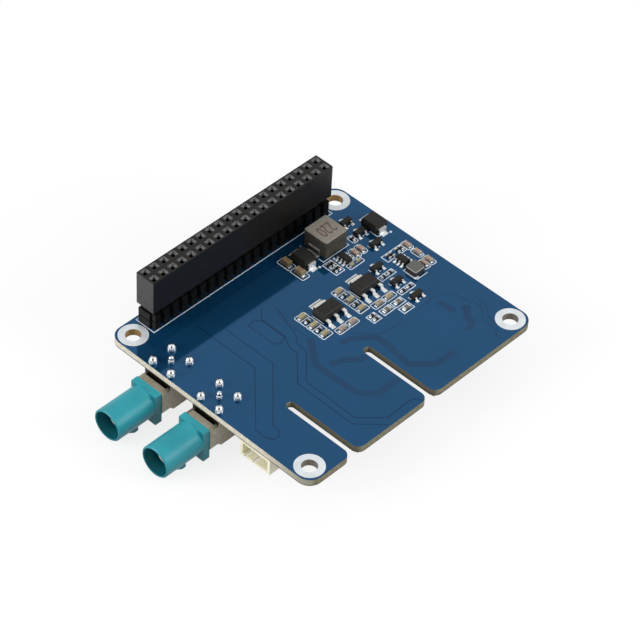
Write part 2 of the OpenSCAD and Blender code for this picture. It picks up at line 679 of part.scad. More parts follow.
// Power switch chips: three leads on each long side
module switch_chip_bodies() color("#3a3836") at_each(switch_chip_at)
    translate([0, 0, chip_stand]) moulded(switch_w, switch_l, switch_h, chip_draft, switch_h / 2);
module switch_chip_leads() color("#c8ccd0") at_each(switch_chip_at)
    for (turn = [0, 180], i = [-1, 0, 1]) rotate(turn)
        translate([switch_w / 2, i * chip_pitch, 0]) chip_lead(switch_lead_w, switch_h);

// Chip capacitors and resistors on the socket side
module bulk_capacitor_bodies() color("#a98f72") at_each(bulk_at) chip_core(size_bulk);
module bulk_capacitor_ends() color("#cfd2d4") at_each(bulk_at) chip_ends(size_bulk);
module tan_capacitor_bodies() color("#b39a78") at_each(tan_at) chip_core(size_large);
module tan_capacitor_ends() color("#cfd2d4") at_each(tan_at) chip_ends(size_large);
module rose_capacitor_bodies() color("#a5846f") at_each(rose_at) chip_core(size_large);
module rose_capacitor_ends() color("#cfd2d4") at_each(rose_at) chip_ends(size_large);
module resistor_bodies() color("#2b2b2d") at_each(resistor_at) chip_core(size_thin);
module resistor_ends() color("#cfd2d4") at_each(resistor_at) chip_ends(size_thin);
module small_resistor_bodies() color("#2b2b2d") at_each(small_resistor_at) chip_core(size_small);
module small_resistor_ends() color("#cfd2d4") at_each(small_resistor_at) chip_ends(size_small);
module small_capacitor_bodies() color("#a98f72") at_each(small_capacitor_at) chip_core(size_small_tall);
module small_capacitor_ends() color("#cfd2d4") at_each(small_capacitor_at) chip_ends(size_small_tall);

// Hidden side: receiver chip on a ring of pads, its crystal, and capacitors round it
module receiver_chip_body() color("#2f2f31") translate([receiver_at[0], receiver_at[1], 0]) below()
    translate([0, 0, pad_t]) linear_extrude(receiver_h - pad_t) square(receiver_w, center = true);
module receiver_chip_pads() color("#cfd2d4") translate([receiver_at[0], receiver_at[1], 0]) below()
    for (turn = [0 : 90 : 270], i = [0 : receiver_pads - 1]) rotate(turn)
        translate([receiver_w / 2 + pad_out - pad_l / 2, (i - (receiver_pads - 1) / 2) * receiver_pitch,
            pad_t / 2]) cube([pad_l, pad_w, pad_t], center = true);
module crystal_base() color("#8c8577") translate([crystal_at[0], crystal_at[1], 0]) below()
    translate([0, 0, crystal_base_t / 2]) cube([crystal_l, crystal_w, crystal_base_t], center = true);
module crystal_lid() color("#c7cacd") translate([crystal_at[0], crystal_at[1], 0]) below()
    translate([0, 0, crystal_base_t]) linear_extrude(crystal_h - crystal_base_t)
        round_rect(crystal_l - 2 * crystal_rim, crystal_w - 2 * crystal_rim, 2 * crystal_rim);
module underside_capacitor_bodies() color("#b39a78") below() at_each(underside_at) chip_core(size_large);
module underside_capacitor_ends() color("#cfd2d4") below() at_each(underside_at) chip_ends(size_large);

circuit_board();
header_housing();
header_spacer_upper();
header_spacer_lower();
header_contacts();
header_solder();
coax_housing_1();
coax_housing_2();
coax_shell_1();
coax_shell_2();
coax_sleeve_1();
coax_sleeve_2();
coax_insulator_1();
coax_insulator_2();
coax_centre_pin_1();
coax_centre_pin_2();
coax_solder();
wire_socket_housing();
wire_socket_pins();
wire_socket_tabs();
ribbon_socket_housing_1();
ribbon_socket_housing_2();
ribbon_socket_contacts();
ribbon_socket_tabs();
power_inductor_core();
power_inductor_terminals();
small_inductor_base();
small_inductor_cap();
small_inductor_terminals();
regulator_bodies();
regulator_leads();
diode_bodies();
diode_terminals();
transistor_bodies();
transistor_leads();
switch_chip_bodies();
switch_chip_leads();
bulk_capacitor_bodies();
bulk_capacitor_ends();
tan_capacitor_bodies();
tan_capacitor_ends();
rose_capacitor_bodies();
rose_capacitor_ends();
resistor_bodies();
resistor_ends();
small_resistor_bodies();
small_resistor_ends();
small_capacitor_bodies();
small_capacitor_ends();
receiver_chip_body();
receiver_chip_pads();
crystal_base();
crystal_lid();
underside_capacitor_bodies();
underside_capacitor_ends();
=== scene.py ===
# %% [markdown]
# # A camera expansion board, dressed in Blender
# This is a blue circuit board that stacks on a small computer. It carries a tall black pin socket, two
# coaxial ports for camera links, a power section and dozens of chip parts. The solid parts come ready made
# from a CAD program, each at its real size. This lesson gives them their finishes and adds what is thin and
# printed or soldered on: the plated eyes of the mounting holes, solder, printed lines, and the traces under
# the mask.

# %% Load the solid parts and keep their box
import bpy
import bmesh
import json
import math
from mathutils import Matrix, Vector


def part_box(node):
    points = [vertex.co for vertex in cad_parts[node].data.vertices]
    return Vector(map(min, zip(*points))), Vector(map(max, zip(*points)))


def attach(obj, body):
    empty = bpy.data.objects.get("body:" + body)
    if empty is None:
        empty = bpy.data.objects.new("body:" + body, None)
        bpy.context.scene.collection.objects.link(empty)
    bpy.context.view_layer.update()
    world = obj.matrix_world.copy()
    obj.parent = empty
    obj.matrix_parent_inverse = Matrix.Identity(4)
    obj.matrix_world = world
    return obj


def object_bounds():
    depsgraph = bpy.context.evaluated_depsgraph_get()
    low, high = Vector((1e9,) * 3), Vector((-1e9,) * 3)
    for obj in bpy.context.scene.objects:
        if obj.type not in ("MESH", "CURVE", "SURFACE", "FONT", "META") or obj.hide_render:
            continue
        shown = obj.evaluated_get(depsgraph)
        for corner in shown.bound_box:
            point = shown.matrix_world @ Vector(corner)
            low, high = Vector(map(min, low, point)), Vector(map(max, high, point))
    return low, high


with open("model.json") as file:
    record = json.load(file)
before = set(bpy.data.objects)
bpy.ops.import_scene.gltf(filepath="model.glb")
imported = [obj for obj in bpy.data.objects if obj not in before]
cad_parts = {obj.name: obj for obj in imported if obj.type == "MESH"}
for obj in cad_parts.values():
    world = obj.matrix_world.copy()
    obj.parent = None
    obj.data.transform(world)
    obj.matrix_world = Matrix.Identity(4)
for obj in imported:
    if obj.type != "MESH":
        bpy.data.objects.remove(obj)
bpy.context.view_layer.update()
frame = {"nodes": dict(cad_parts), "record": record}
bpy.ops.object.select_all(action="DESELECT")
parts = frame["nodes"]
mm = 0.001

# %% [markdown]
# ## The camera
# The photograph is taken with a long lens from above one corner, so that far edges look hardly shorter than
# near ones. The camera could be aimed by eye. Here its angles and distance were worked out from the four
# mounting holes, which stand on a known rectangle, so every part falls on its own place in the photograph.

# %% Place the camera
azimuth = math.radians(-48.078)
elevation = math.radians(44.446)
roll = math.radians(3.127)
distance = 593.061 * mm
slide = Vector((-0.595 * mm, 1.421 * mm))
focal_pixels = 2962.333
frame_pixels = 640
sensor = 36

level = Vector((math.cos(azimuth), math.sin(azimuth), 0))
back = Vector((math.sin(azimuth) * math.cos(elevation), -math.cos(azimuth) * math.cos(elevation),
               math.sin(elevation)))
upright = back.cross(level)
right = math.cos(roll) * level + math.sin(roll) * upright
up = math.cos(roll) * upright - math.sin(roll) * level

camera_data = bpy.data.cameras.new("camera")
camera_data.sensor_width = sensor
camera_data.lens = focal_pixels * sensor / frame_pixels
camera_data.clip_start = 0.01
camera = bpy.data.objects.new("camera", camera_data)
bpy.context.scene.collection.objects.link(camera)
spot = slide.x * right + slide.y * up + distance * back
camera.matrix_world = Matrix.Translation(spot) @ Matrix((right, up, back)).transposed().to_4x4()
bpy.context.scene.camera = camera
print("lens", round(camera_data.lens, 2), "mm, camera at", [round(c, 3) for c in spot])

# %% [markdown]
# ## How the finishes are made
# Every finish is a small tree of shader nodes on one Principled shader. Its colours are written as the hex
# values a paint program shows. A screen value isn't an amount of light, so one function turns it to linear.
# One more function adds a node, sets its values and links its inputs.

# %% Helpers for colours and nodes
def linear(hex_colour):
    """Linear colour of a hex value as a screen shows it"""
    channels = [int(hex_colour[i:i + 2], 16) / 255 for i in (0, 2, 4)]
    return [c / 12.92 if c <= 0.04045 else ((c + 0.055) / 1.055) ** 2.4 for c in channels] + [1]


def add(tree, kind, inputs=(), **settings):
    """Adds a shader node. Inputs are values or the sockets to link; settings are its own properties"""
    made = tree.nodes.new("ShaderNode" + kind)
    for name, value in settings.items():
        setattr(made, name, value)
    for name, value in dict(inputs).items():
        if isinstance(value, bpy.types.NodeSocket):
            tree.links.new(value, made.inputs[name])
        else:
            made.inputs[name].default_value = value
    return made


def new_finish(name, **values):
    """A material with fixed values on its Principled shader; returns the material, its tree and the shader"""
    material = bpy.data.materials.new(name)
    material.use_nodes = True
    tree = material.node_tree
    shader = tree.nodes["Principled BSDF"]
    for label, value in values.items():
        shader.inputs[label.replace("_", " ")].default_value = value
    return material, tree, shader


print("a mid grey on the screen is", round(linear("808080")[0], 3), "of white's light")

# %% [markdown]
# ## Finishes that change from place to place
# Some finishes depend on where a point is or on which way its face points: the rim of a hole, the sawn end of
# a strip. Those faces could be given a material of their own, but the CAD meshes have one slot each and stay
# as they are. So one helper hands out a point's place or direction, and one finds the faces along an axis.

# %% Places and directions
def axes(tree, kind):
    """X, Y and Z of a point's place (kind "Object") or of the way its face points (kind "Normal")"""
    return add(tree, "SeparateXYZ", {0: add(tree, "TexCoord").outputs[kind]}).outputs


def along(tree, axis, least):
    """Is 1 on faces that point along an axis, either way, by more than this share, and 0 elsewhere"""
    lean = add(tree, "Math", {0: axes(tree, "Normal")[axis]}, operation="ABSOLUTE")
    return add(tree, "Math", {0: lean.outputs[0], 1: least}, operation="GREATER_THAN").outputs[0]


print("kinds that axes takes:", ("Object", "Normal"))

# %% [markdown]
# ## Colour and gloss that wander
# No real surface has one flat colour or one gloss. This could be painted as an image, but that needs an
# unwrapped mesh. Noise in Object coordinates needs none. They are metres on the real board, so a grain of
# 0.3 mm is written as 0.3 mm.

# %% Helpers for colour and roughness
def grain(size):
    """Noise scale that gives a grain of this many millimetres"""
    return 1 / (size * mm)


def speckle(tree, dark, light, size, detail=3.0, low=0.35, high=0.65):
    """Colour that wanders between two hex colours with a noise of this size in mm"""
    place = add(tree, "TexCoord").outputs["Object"]
    noise = add(tree, "TexNoise", {"Vector": place, "Scale": grain(size), "Detail": detail})
    share = add(tree, "MapRange", {"Value": noise.outputs["Fac"], "From Min": low, "From Max": high})
    mix = add(tree, "Mix", {0: share.outputs["Result"], 6: linear(dark), 7: linear(light)}, data_type="RGBA")
    return mix.outputs[2]


def wander(tree, low, high, size):
    """Value that wanders between two numbers with a noise of this size in mm"""
    place = add(tree, "TexCoord").outputs["Object"]
    noise = add(tree, "TexNoise", {"Vector": place, "Scale": grain(size), "Detail": 2.0})
    span = add(tree, "MapRange", {"Value": noise.outputs["Fac"], "From Min": 0.3, "From Max": 0.7,
                                  "To Min": low, "To Max": high})
    return span.outputs["Result"]


print("a grain of 0.3 mm is a noise scale of", round(grain(0.3)))

# %% [markdown]
# ## Pits, and what every finish ends with
# Cast, pressed and blasted surfaces are pitted, which breaks up their reflections. The pits are far too fine
# to model, so they are bumps in the shader. Every finish ends alike: a colour, a roughness that wanders, and
# pits if any. Many are the same all over the part, and one call makes such a finish.

# %% Helpers for whole finishes
def pit(tree, shader, depth, size, strength=1.0, detail=2.0):
    """Gives the surface bumps of this depth and size in mm"""
    place = add(tree, "TexCoord").outputs["Object"]
    noise = add(tree, "TexNoise", {"Vector": place, "Scale": grain(size), "Detail": detail})
    bump = add(tree, "Bump", {"Height": noise.outputs["Fac"], "Distance": depth * mm, "Strength": strength})
    tree.links.new(bump.outputs["Normal"], shader.inputs["Normal"])


def coat(tree, shader, colour, rough, pits=()):
    """Gives the shader a colour, a roughness (lowest, highest, grain in mm) and pits (depth, size in mm)"""
    tree.links.new(colour, shader.inputs["Base Color"])
    tree.links.new(wander(tree, *rough), shader.inputs["Roughness"])
    if pits:
        pit(tree, shader, *pits)


def plain_finish(name, dark, light, size, rough, pits=(), **values):
    """A finish that is alike all over, with a colour between two hex colours that has a grain in mm"""
    material, tree, shader = new_finish(name, **values)
    coat(tree, shader, speckle(tree, dark, light, size), rough, pits)
    return material


finishes = {}
print("ready to make finishes; so far", len(bpy.data.materials), "materials")

# %% [markdown]
# ## The board's faces: solder mask over copper
# The board is a sheet of woven glass in epoxy resin, with copper on both faces under a glossy blue solder
# mask. The copper shines back through the mask, so the mask mirrors the socket and the studio in its own
# blue. That is why its shader is half metallic. The edges are bare. Two materials could be given to two sets
# of faces. One material that reads which way a face points does the same without touching the mesh.

# %% Board faces
mask_gloss = 0.07
edge_dullness = 0.75
copper_share = 0.5
material, tree, shader = new_finish("solder_mask_over_copper", IOR=1.4)
on_face = along(tree, "Z", 0.5)
mask_colour = speckle(tree, "0E466C", "124A74", 14.0, low=0.3, high=0.7)
gloss = add(tree, "MapRange", {"Value": on_face, "To Min": edge_dullness, "To Max": mask_gloss})
tree.links.new(gloss.outputs["Result"], shader.inputs["Roughness"])
copper = add(tree, "Math", {0: on_face, 1: copper_share}, operation="MULTIPLY")
tree.links.new(copper.outputs[0], shader.inputs["Metallic"])
pit(tree, shader, 0.003, 1.6, 0.5, detail=1.0)
finishes["board"] = material
print("board faces:", len(tree.nodes), "nodes")

# %% [markdown]
# ## The board's edges: bare laminate
# The short edge at the coaxial ports is a fresh saw cut, cream at the far end and greyer towards the near
# one. A router cut the other edges, which are olive brown, and the slots, whose walls get a painted shade, a
# darker colour for the light that hardly reaches them. At the foot of each edge the mask of the far face
# shows as a dark line. All this could be painted on an unwrapped mesh. The direction of a face and its place
# on the board are enough to tell it.

# %% Board edges
laminate_grain = 0.9
greyer_near_from = -13 * mm
greyer_near_to = -25 * mm
short_edge_ends = -31 * mm
foot_line = (-1.5 * mm, -1.25 * mm)
facing = axes(tree, "Normal")
place = axes(tree, "Object")

sawn = speckle(tree, "D3CAB6", "E9E3D4", laminate_grain)
# The sawn edge turns greyer towards the near end, between these two places
greyer_near = add(tree, "MapRange", {"Value": place["Y"], "From Min": greyer_near_from, "From Max": greyer_near_to})
sawn = add(tree, "Mix", {0: greyer_near.outputs["Result"], 6: sawn, 7: linear("A09D8C")}, data_type="RGBA")
routed = speckle(tree, "6C6752", "858069", laminate_grain)
is_sawn = add(tree, "MapRange", {"Value": facing["X"], "From Min": -0.3, "From Max": -0.75})
edge = add(tree, "Mix", {0: is_sawn.outputs["Result"], 6: routed, 7: sawn.outputs[2]}, data_type="RGBA")

# A slot's wall points the same way as the sawn edge, but lies farther in, and gets a painted shade
inside = add(tree, "Math", {0: place["X"], 1: short_edge_ends}, operation="GREATER_THAN")
slot_wall_shade = add(tree, "Math", {0: inside.outputs[0], 1: is_sawn.outputs["Result"]}, operation="MULTIPLY")
edge = add(tree, "Mix", {0: slot_wall_shade.outputs[0], 6: edge.outputs[2], 7: linear("5E5A4A")}, data_type="RGBA")
off_foot = add(tree, "MapRange", {"Value": place["Z"], "From Min": foot_line[0], "From Max": foot_line[1]})
edge = add(tree, "Mix", {0: off_foot.outputs["Result"], 6: linear("4F4A38"), 7: edge.outputs[2]},
           data_type="RGBA")
board_colour = add(tree, "Mix", {0: on_face, 6: edge.outputs[2], 7: mask_colour}, data_type="RGBA")
tree.links.new(board_colour.outputs[2], shader.inputs["Base Color"])
print("board with edges:", len(tree.nodes), "nodes")

# %% [markdown]
# ## The pin socket: glass-filled nylon
# The socket's housing is nearly black, with a satin skin and a grain from the mould. Its funnels are shaped
# by polished core pins, so they are smoother and catch the lamps; their paler colour is a painted sheen. The
# throats below them are painted near black and matt, a painted shade. Its ends are greyer, as they were sawn
# from a longer strip, and their grey is also a painted reflection of the pale floor. Each could be a material
# of its own on its own faces. Here the slant of a face and its depth in the housing tell them apart, so the
# CAD mesh keeps its one slot.

# %% Where the throats are
funnel_depth = 0.5 * mm
wall = 0.1 * mm
material, tree, shader = new_finish("glass_filled_nylon_black", IOR=1.3)
place = axes(tree, "Object")
housing_low, housing_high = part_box("header_housing")
below = add(tree, "Math", {0: place["Z"], 1: housing_high.z - funnel_depth}, operation="LESS_THAN")
past_front = add(tree, "Math", {0: place["Y"], 1: housing_low.y + wall}, operation="GREATER_THAN")
past_back = add(tree, "Math", {0: place["Y"], 1: housing_high.y - wall}, operation="LESS_THAN")
past_ends = add(tree, "Math", {0: place["X"], 1: 0.0, 2: housing_high.x - wall}, operation="COMPARE")
throat_shade = below
for limit in (past_front, past_back, past_ends):
    throat_shade = add(tree, "Math", {0: throat_shade.outputs[0], 1: limit.outputs[0]}, operation="MULTIPLY")
print("throats start at z", round((housing_high.z - funnel_depth) / mm, 2), "mm")

# %% Skin, ends, funnels and throats of the pin socket
# A funnel's slopes have normals whose Z is close to 0.61
funnel_slant = 0.61
on_funnel = add(tree, "Math", {0: axes(tree, "Normal")["Z"], 1: funnel_slant, 2: 0.2}, operation="COMPARE")
# The ends' greyer colour is a sawn face and partly a painted reflection of the pale floor
outside = add(tree, "Mix", {0: along(tree, "X", 0.9), 6: speckle(tree, "141210", "191715", 0.6),
                            7: speckle(tree, "393939", "464646", 0.4)}, data_type="RGBA")
# The funnel slopes get a paler colour, a painted sheen; their smoothness below is real
lead_in_sheen = add(tree, "Mix", {0: on_funnel.outputs[0], 6: outside.outputs[2], 7: linear("303030")},
              data_type="RGBA")
# Below the funnels the throats get a painted shade, near black and matt
nylon = add(tree, "Mix", {0: throat_shade.outputs[0], 6: lead_in_sheen.outputs[2], 7: linear("020202")},
            data_type="RGBA")
tree.links.new(nylon.outputs[2], shader.inputs["Base Color"])

satin = wander(tree, 0.36, 0.46, 2.5)
smooth = add(tree, "Mix", {0: on_funnel.outputs[0], 2: satin, 3: 0.2})
dull = add(tree, "Mix", {0: throat_shade.outputs[0], 2: smooth.outputs[0], 3: 0.95})
tree.links.new(dull.outputs[0], shader.inputs["Roughness"])
pit(tree, shader, 0.006, 0.25)
finishes["black_moulding"] = material
print("pin socket finish:", len(tree.nodes), "nodes")

# %% [markdown]
# ## The spacer strips: plain nylon
# The two strips under the pin socket are nylon without glass. They are blacker and more matt than the
# housing. Their cut ends are a little lighter, with a dark seam where the strips meet. The seam could be a
# gap in the mesh, but the strips do touch, so it is drawn by height in the colour.

# %% Spacer strips
seam_dark = 0.12 * mm
seam_light = 0.3 * mm
material, tree, shader = new_finish("plain_nylon_black", IOR=1.2)
strip_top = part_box("header_spacer_lower")[1].z
off_seam = add(tree, "Math", {0: axes(tree, "Object")["Z"], 1: strip_top}, operation="SUBTRACT")
off_seam = add(tree, "Math", {0: off_seam.outputs[0]}, operation="ABSOLUTE")
clear = add(tree, "MapRange", {"Value": off_seam.outputs[0], "From Min": seam_dark, "From Max": seam_light})
light_end = add(tree, "Math", {0: along(tree, "X", 0.9), 1: clear.outputs["Result"]}, operation="MULTIPLY")
strip = add(tree, "Mix", {0: light_end.outputs[0], 6: speckle(tree, "080807", "0E0E0D", 0.6),
                          7: linear("262627")}, data_type="RGBA")
coat(tree, shader, strip.outputs[2], (0.5, 0.6, 2.0), (0.006, 0.25))
strip_finish = material
print("strips meet at z", round(strip_top / mm, 2), "mm")

# %% [markdown]
# ## The coaxial ports: teal nylon
# The barrels are moulded in a teal that marks their keying. They shine more than the socket. Faces that look
# up are painted paler than the undersides, a painted shade on the undersides, and the bores are painted dark,
# a painted shade inside them. The bore could be a second material. One that measures how far a point is from
# the nearer port's axis works for both ports, since a ping-pong of Y repeats at their pitch.

# %% Teal barrels
near_port = 0.3 * mm
half_pitch = 6.75 * mm
port_depth = 5.5 * mm
bore_from = 3.3 * mm
bore_to = 3.15 * mm
material, tree, shader = new_finish("nylon_teal", IOR=1.34)
place = axes(tree, "Object")
# Inside the bore the teal is painted darker, a painted shade, by distance from the nearer axis
from_near = add(tree, "Math", {0: place["Y"], 1: near_port}, operation="SUBTRACT")
across = add(tree, "Math", {0: from_near.outputs[0], 1: half_pitch}, operation="PINGPONG")
upward = add(tree, "Math", {0: place["Z"], 1: port_depth}, operation="ADD")
from_axis = add(tree, "CombineXYZ", {0: across.outputs[0], 1: upward.outputs[0]})
radius = add(tree, "VectorMath", {0: from_axis.outputs[0]}, operation="LENGTH")
bore_shade = add(tree, "MapRange", {"Value": radius.outputs["Value"], "From Min": bore_from,
                                 "From Max": bore_to})
# Faces that look down get a painted shade, a darker teal than those that look up
upper = add(tree, "MapRange", {"Value": axes(tree, "Normal")["Z"], "From Min": -0.5, "From Max": 0.7})
skin = add(tree, "Mix", {0: upper.outputs["Result"], 6: linear("136673"),
                         7: speckle(tree, "2A909E", "30A0AD", 6.0)}, data_type="RGBA")
teal = add(tree, "Mix", {0: bore_shade.outputs["Result"], 6: skin.outputs[2], 7: linear("0F6470")},
           data_type="RGBA")
coat(tree, shader, teal.outputs[2], (0.36, 0.44, 1.5), (0.006, 0.3))
finishes["teal_moulding"] = material
print("port axes", round(2 * half_pitch / mm, 2), "mm apart")

# %% [markdown]
# ## Ivory nylon and white fluoropolymer
# The wire socket is uncoloured nylon, which is ivory. The insulators in the ports are a white fluoropolymer,
# the best there is for fast signals. Light goes a fraction of a millimetre into both before it comes back,
# which softens their edges. A paler colour alone would look like paint, so a little subsurface light is used.

# %% Ivory and white plastics
finishes["ivory_moulding"] = plain_finish(
    "nylon_ivory", "F3ECCB", "FBF6E1", 3.0, (0.35, 0.5, 1.2), (0.006, 0.3), IOR=1.5,
    Subsurface_Weight=0.15, Subsurface_Radius=(1, 0.95, 0.8), Subsurface_Scale=0.4 * mm)
finishes["white_insulator"] = plain_finish(
    "white_fluoropolymer", "DDD9CE", "EEEBE2", 1.0, (0.45, 0.6, 0.8), IOR=1.38,
    Subsurface_Weight=0.1, Subsurface_Radius=(1, 1, 1), Subsurface_Scale=0.3 * mm)
print("made", finishes["ivory_moulding"].name, "and", finishes["white_insulator"].name)

# %% [markdown]
# ## Chip bodies: moulded epoxy
# Chips are moulded in epoxy with silica in it, in a blasted tool, so they are matt and charcoal rather than
# black. The grain is about a tenth of a millimetre.

# %% Epoxy
epoxy_dark = "141311"
epoxy_light = "1F1D1A"
epoxy_grain = 0.12
epoxy_rough = (0.5, 0.68, 0.5)
epoxy_pits = (0.012, 0.12)
finishes["dark_moulding"] = plain_finish("moulded_epoxy_charcoal", epoxy_dark, epoxy_light, epoxy_grain,
                                         epoxy_rough, epoxy_pits, IOR=1.35)
print("made", finishes["dark_moulding"].name)

# %% [markdown]
# ## The regulators' bright edges
# The regulators catch the light along two edges of their tops, where the moulding is rounded. A bevel there
# would have to change the CAD mesh. Two fine pale lines are drawn on the top instead. They repeat at the
# distance between the two regulators, so one material serves both.

# %% Edged epoxy
top_inset = 0.4 * mm
regulator_pitch = 10.6 * mm
material, tree, shader = new_finish("moulded_epoxy_charcoal_edged", IOR=1.35)
place = axes(tree, "Object")
low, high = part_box("regulator_bodies")
front = add(tree, "Math", {0: place["Y"], 1: low.y + top_inset, 2: 0.09 * mm}, operation="COMPARE")
from_side = add(tree, "Math", {0: place["X"], 1: low.x + top_inset}, operation="SUBTRACT")
from_side = add(tree, "Math", {0: from_side.outputs[0], 1: regulator_pitch}, operation="FLOORED_MODULO")
side = add(tree, "Math", {0: from_side.outputs[0], 1: 0.0, 2: 0.15 * mm}, operation="COMPARE")
lined = add(tree, "Math", {0: front.outputs[0], 1: side.outputs[0]}, operation="MAXIMUM")
on_top = add(tree, "Math", {0: axes(tree, "Normal")["Z"], 1: 0.9}, operation="GREATER_THAN")
lined = add(tree, "Math", {0: lined.outputs[0], 1: on_top.outputs[0]}, operation="MULTIPLY")
epoxy = add(tree, "Mix", {0: lined.outputs[0], 6: speckle(tree, epoxy_dark, epoxy_light, epoxy_grain),
                          7: linear("3E3B3A")}, data_type="RGBA")
coat(tree, shader, epoxy.outputs[2], epoxy_rough, epoxy_pits)
edged_epoxy = material
print("plastics:", [finish.name for finish in finishes.values()] + [edged_epoxy.name])

# %% [markdown]
# ## Solder, tin, nickel and gold
# Solder is bright and runs into smooth pillows that mirror the studio. The legs of the chips are tin plated
# and a little duller, and so are the pads. The coaxial contact tubes are nickel plated, and the contacts
# have a thin layer of gold. A metal's colour is its reflection. With Metallic at 1 a leg half a millimetre
# wide shows only the one thing that it mirrors, so the tin and nickel plating get less of it. All keep the
# default IOR.

# %% Plain metals
finishes["solder"] = plain_finish("tin_solder", "BCC1C5", "D6D9DB", 0.5, (0.08, 0.2, 0.4), (0.05, 0.7, 0.6),
                                  Metallic=1.0)
finishes["tinned_metal"] = plain_finish("matt_tin_plate", "D6D6D2", "E6E6E2", 0.8, (0.3, 0.38, 0.8),
                                        (0.003, 0.4), Metallic=0.7)
finishes["plated_metal"] = plain_finish("bright_nickel_plate", "E6E6E2", "F4F4F0", 1.0, (0.2, 0.3, 0.6),
                                        Metallic=0.3)
finishes["gilt_metal"] = plain_finish("thin_gold_plate", "C79F4A", "DDBB6C", 0.5, (0.2, 0.35, 0.4),
                                      Metallic=1.0)
pad_finish = plain_finish("hot_air_levelled_tin", "D2D9DE", "E6EBEF", 0.8, (0.15, 0.3, 0.5), Metallic=0.4)
print("plain metals:", finishes["solder"].name, finishes["tinned_metal"].name, pad_finish.name)

# %% [markdown]
# ## The ends of the ceramic parts
# The ends of chip parts are fired onto the ceramic before they are tinned, so they are dull and a little
# yellow. On the two big capacitors the tin is thin and the copper below it warms the colour. The pads'
# bright tin could serve for both, but then every end would flash like solder.

# %% Metal ends
capacitor_ends = plain_finish("fired_tin_on_ceramic", "A69D88", "C0B8A4", 0.3, (0.3, 0.45, 0.3),
                              (0.008, 0.15), Metallic=0.6)
bulk_ends = plain_finish("thin_tin_over_copper", "8A7850", "C0AE80", 0.4, (0.25, 0.4, 0.4), Metallic=0.6)
print("ends:", capacitor_ends.name, "and", bulk_ends.name)

# %% [markdown]
# ## The regulators' bent legs
# A leg is a flat strip with two bends. Its flats are bright, and each bend shows as a dark line, because
# there the strip mirrors the dark chip or the board. In a render this small, the mirror alone is too weak to
# show it. So the two lines are drawn in the colour, by their place across the board.

# %% Bent legs
bends = (4.86 * mm, 5.56 * mm)
bend_half = 0.1 * mm
material, tree, shader = new_finish("bent_tin_plate", Metallic=0.45)
place = axes(tree, "Object")
first, last = [add(tree, "Math", {0: place["Y"], 1: bend, 2: bend_half}, operation="COMPARE").outputs[0]
               for bend in bends]
at_bend = add(tree, "Math", {0: first, 1: last}, operation="ADD")
tin = add(tree, "Mix", {0: at_bend.outputs[0], 6: speckle(tree, "DCDCD8", "ECECE8", 0.8),
                        7: linear("4A4843")}, data_type="RGBA")
coat(tree, shader, tin.outputs[2], (0.4, 0.5, 0.8))
bent_tin = material
print("bends at y", [round(bend / mm, 2) for bend in bends], "mm")

# %% [markdown]
# ## The power inductor's clips
# Each terminal is a copper strip pressed round the core's end and tinned. It is bright at its foot and its
# head, and its upright part mirrors the dark diode and the board beside it. That part is found by the way
# it faces and by its height, and is drawn dark.

# %% Inductor clips
bright_band = 0.3 * mm
material, tree, shader = new_finish("pressed_copper_clip_tinned", Metallic=0.45)
clip_low, clip_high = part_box("power_inductor_terminals")
half_up = (clip_low.z + clip_high.z) / 2
half_tall = (clip_high.z - clip_low.z) / 2
middle = add(tree, "Math", {0: axes(tree, "Object")["Z"], 1: half_up, 2: half_tall - bright_band},
             operation="COMPARE")
shaded = add(tree, "Math", {0: along(tree, "X", 0.8), 1: middle.outputs[0]}, operation="MULTIPLY")
clip = add(tree, "Mix", {0: shaded.outputs[0], 6: speckle(tree, "C2C0B8", "D6D4CC", 0.6),
                         7: linear("3C3A35")}, data_type="RGBA")
coat(tree, shader, clip.outputs[2], (0.25, 0.4, 0.4))
inductor_clip = material
print("clip is", round(2 * half_tall / mm, 2), "mm tall")

# %% [markdown]
# ## The coaxial shells: die-cast zinc
# The shells are cast zinc, olive grey with a fine grain from the die. The groove behind the flange stays
# dark, and the shell grows darker inward, where the board hangs over it. The render's own shadows do some of
# this, but the grain and the soft light leave too little of it, so both are added by place in the colour.

# %% Die-cast zinc
flange_back = -33.15 * mm
groove_floor = -3.8 * mm
shade_from = -33.5 * mm
shade_to = -29 * mm
material, tree, shader = new_finish("die_cast_zinc", Metallic=0.55)
place = axes(tree, "Object")
aside = add(tree, "Math", {0: axes(tree, "Normal")["Y"]}, operation="ABSOLUTE")
not_side = add(tree, "Math", {0: aside.outputs[0], 1: 0.5}, operation="LESS_THAN")
behind = add(tree, "Math", {0: place["X"], 1: flange_back}, operation="GREATER_THAN")
above = add(tree, "Math", {0: place["Z"], 1: groove_floor}, operation="GREATER_THAN")
in_groove = add(tree, "Math", {0: behind.outputs[0], 1: above.outputs[0]}, operation="MULTIPLY")
in_groove = add(tree, "Math", {0: in_groove.outputs[0], 1: not_side.outputs[0]}, operation="MULTIPLY")
inward = add(tree, "MapRange", {"Value": place["X"], "From Min": shade_from, "From Max": shade_to,
                                "To Max": 0.7})
cast = add(tree, "Mix", {0: inward.outputs["Result"], 6: speckle(tree, "8F8877", "A29B8B", 0.6),
                         7: linear("55503F")}, data_type="RGBA")
zinc = add(tree, "Mix", {0: in_groove.outputs[0], 6: cast.outputs[2], 7: linear("1A1813")}, data_type="RGBA")
coat(tree, shader, zinc.outputs[2], (0.35, 0.5, 0.5), (0.015, 0.2))
finishes["die_cast"] = material
print("zinc finish:", len(tree.nodes), "nodes")

# %% [markdown]
# ## Chip capacitors: fired ceramic
# A chip capacitor is layers of ceramic and metal, fired to one block with a dense, slightly waxy surface.
# The recipe of the ceramic gives its colour: tan, rose or brown. A few of the tan ones come from another
# batch and are rosier. They are told by their place on the board, since they share a node with the others.

# %% Ceramics
ceramic_rough = (0.35, 0.5, 0.4)
finishes["rose_ceramic"] = plain_finish("fired_ceramic_rose", "91776A", "B69A8C", 0.4, ceramic_rough,
                                        IOR=1.6)
brown_ceramic = plain_finish("fired_ceramic_brown", "6F5440", "8A6C52", 0.5, ceramic_rough, IOR=1.6)

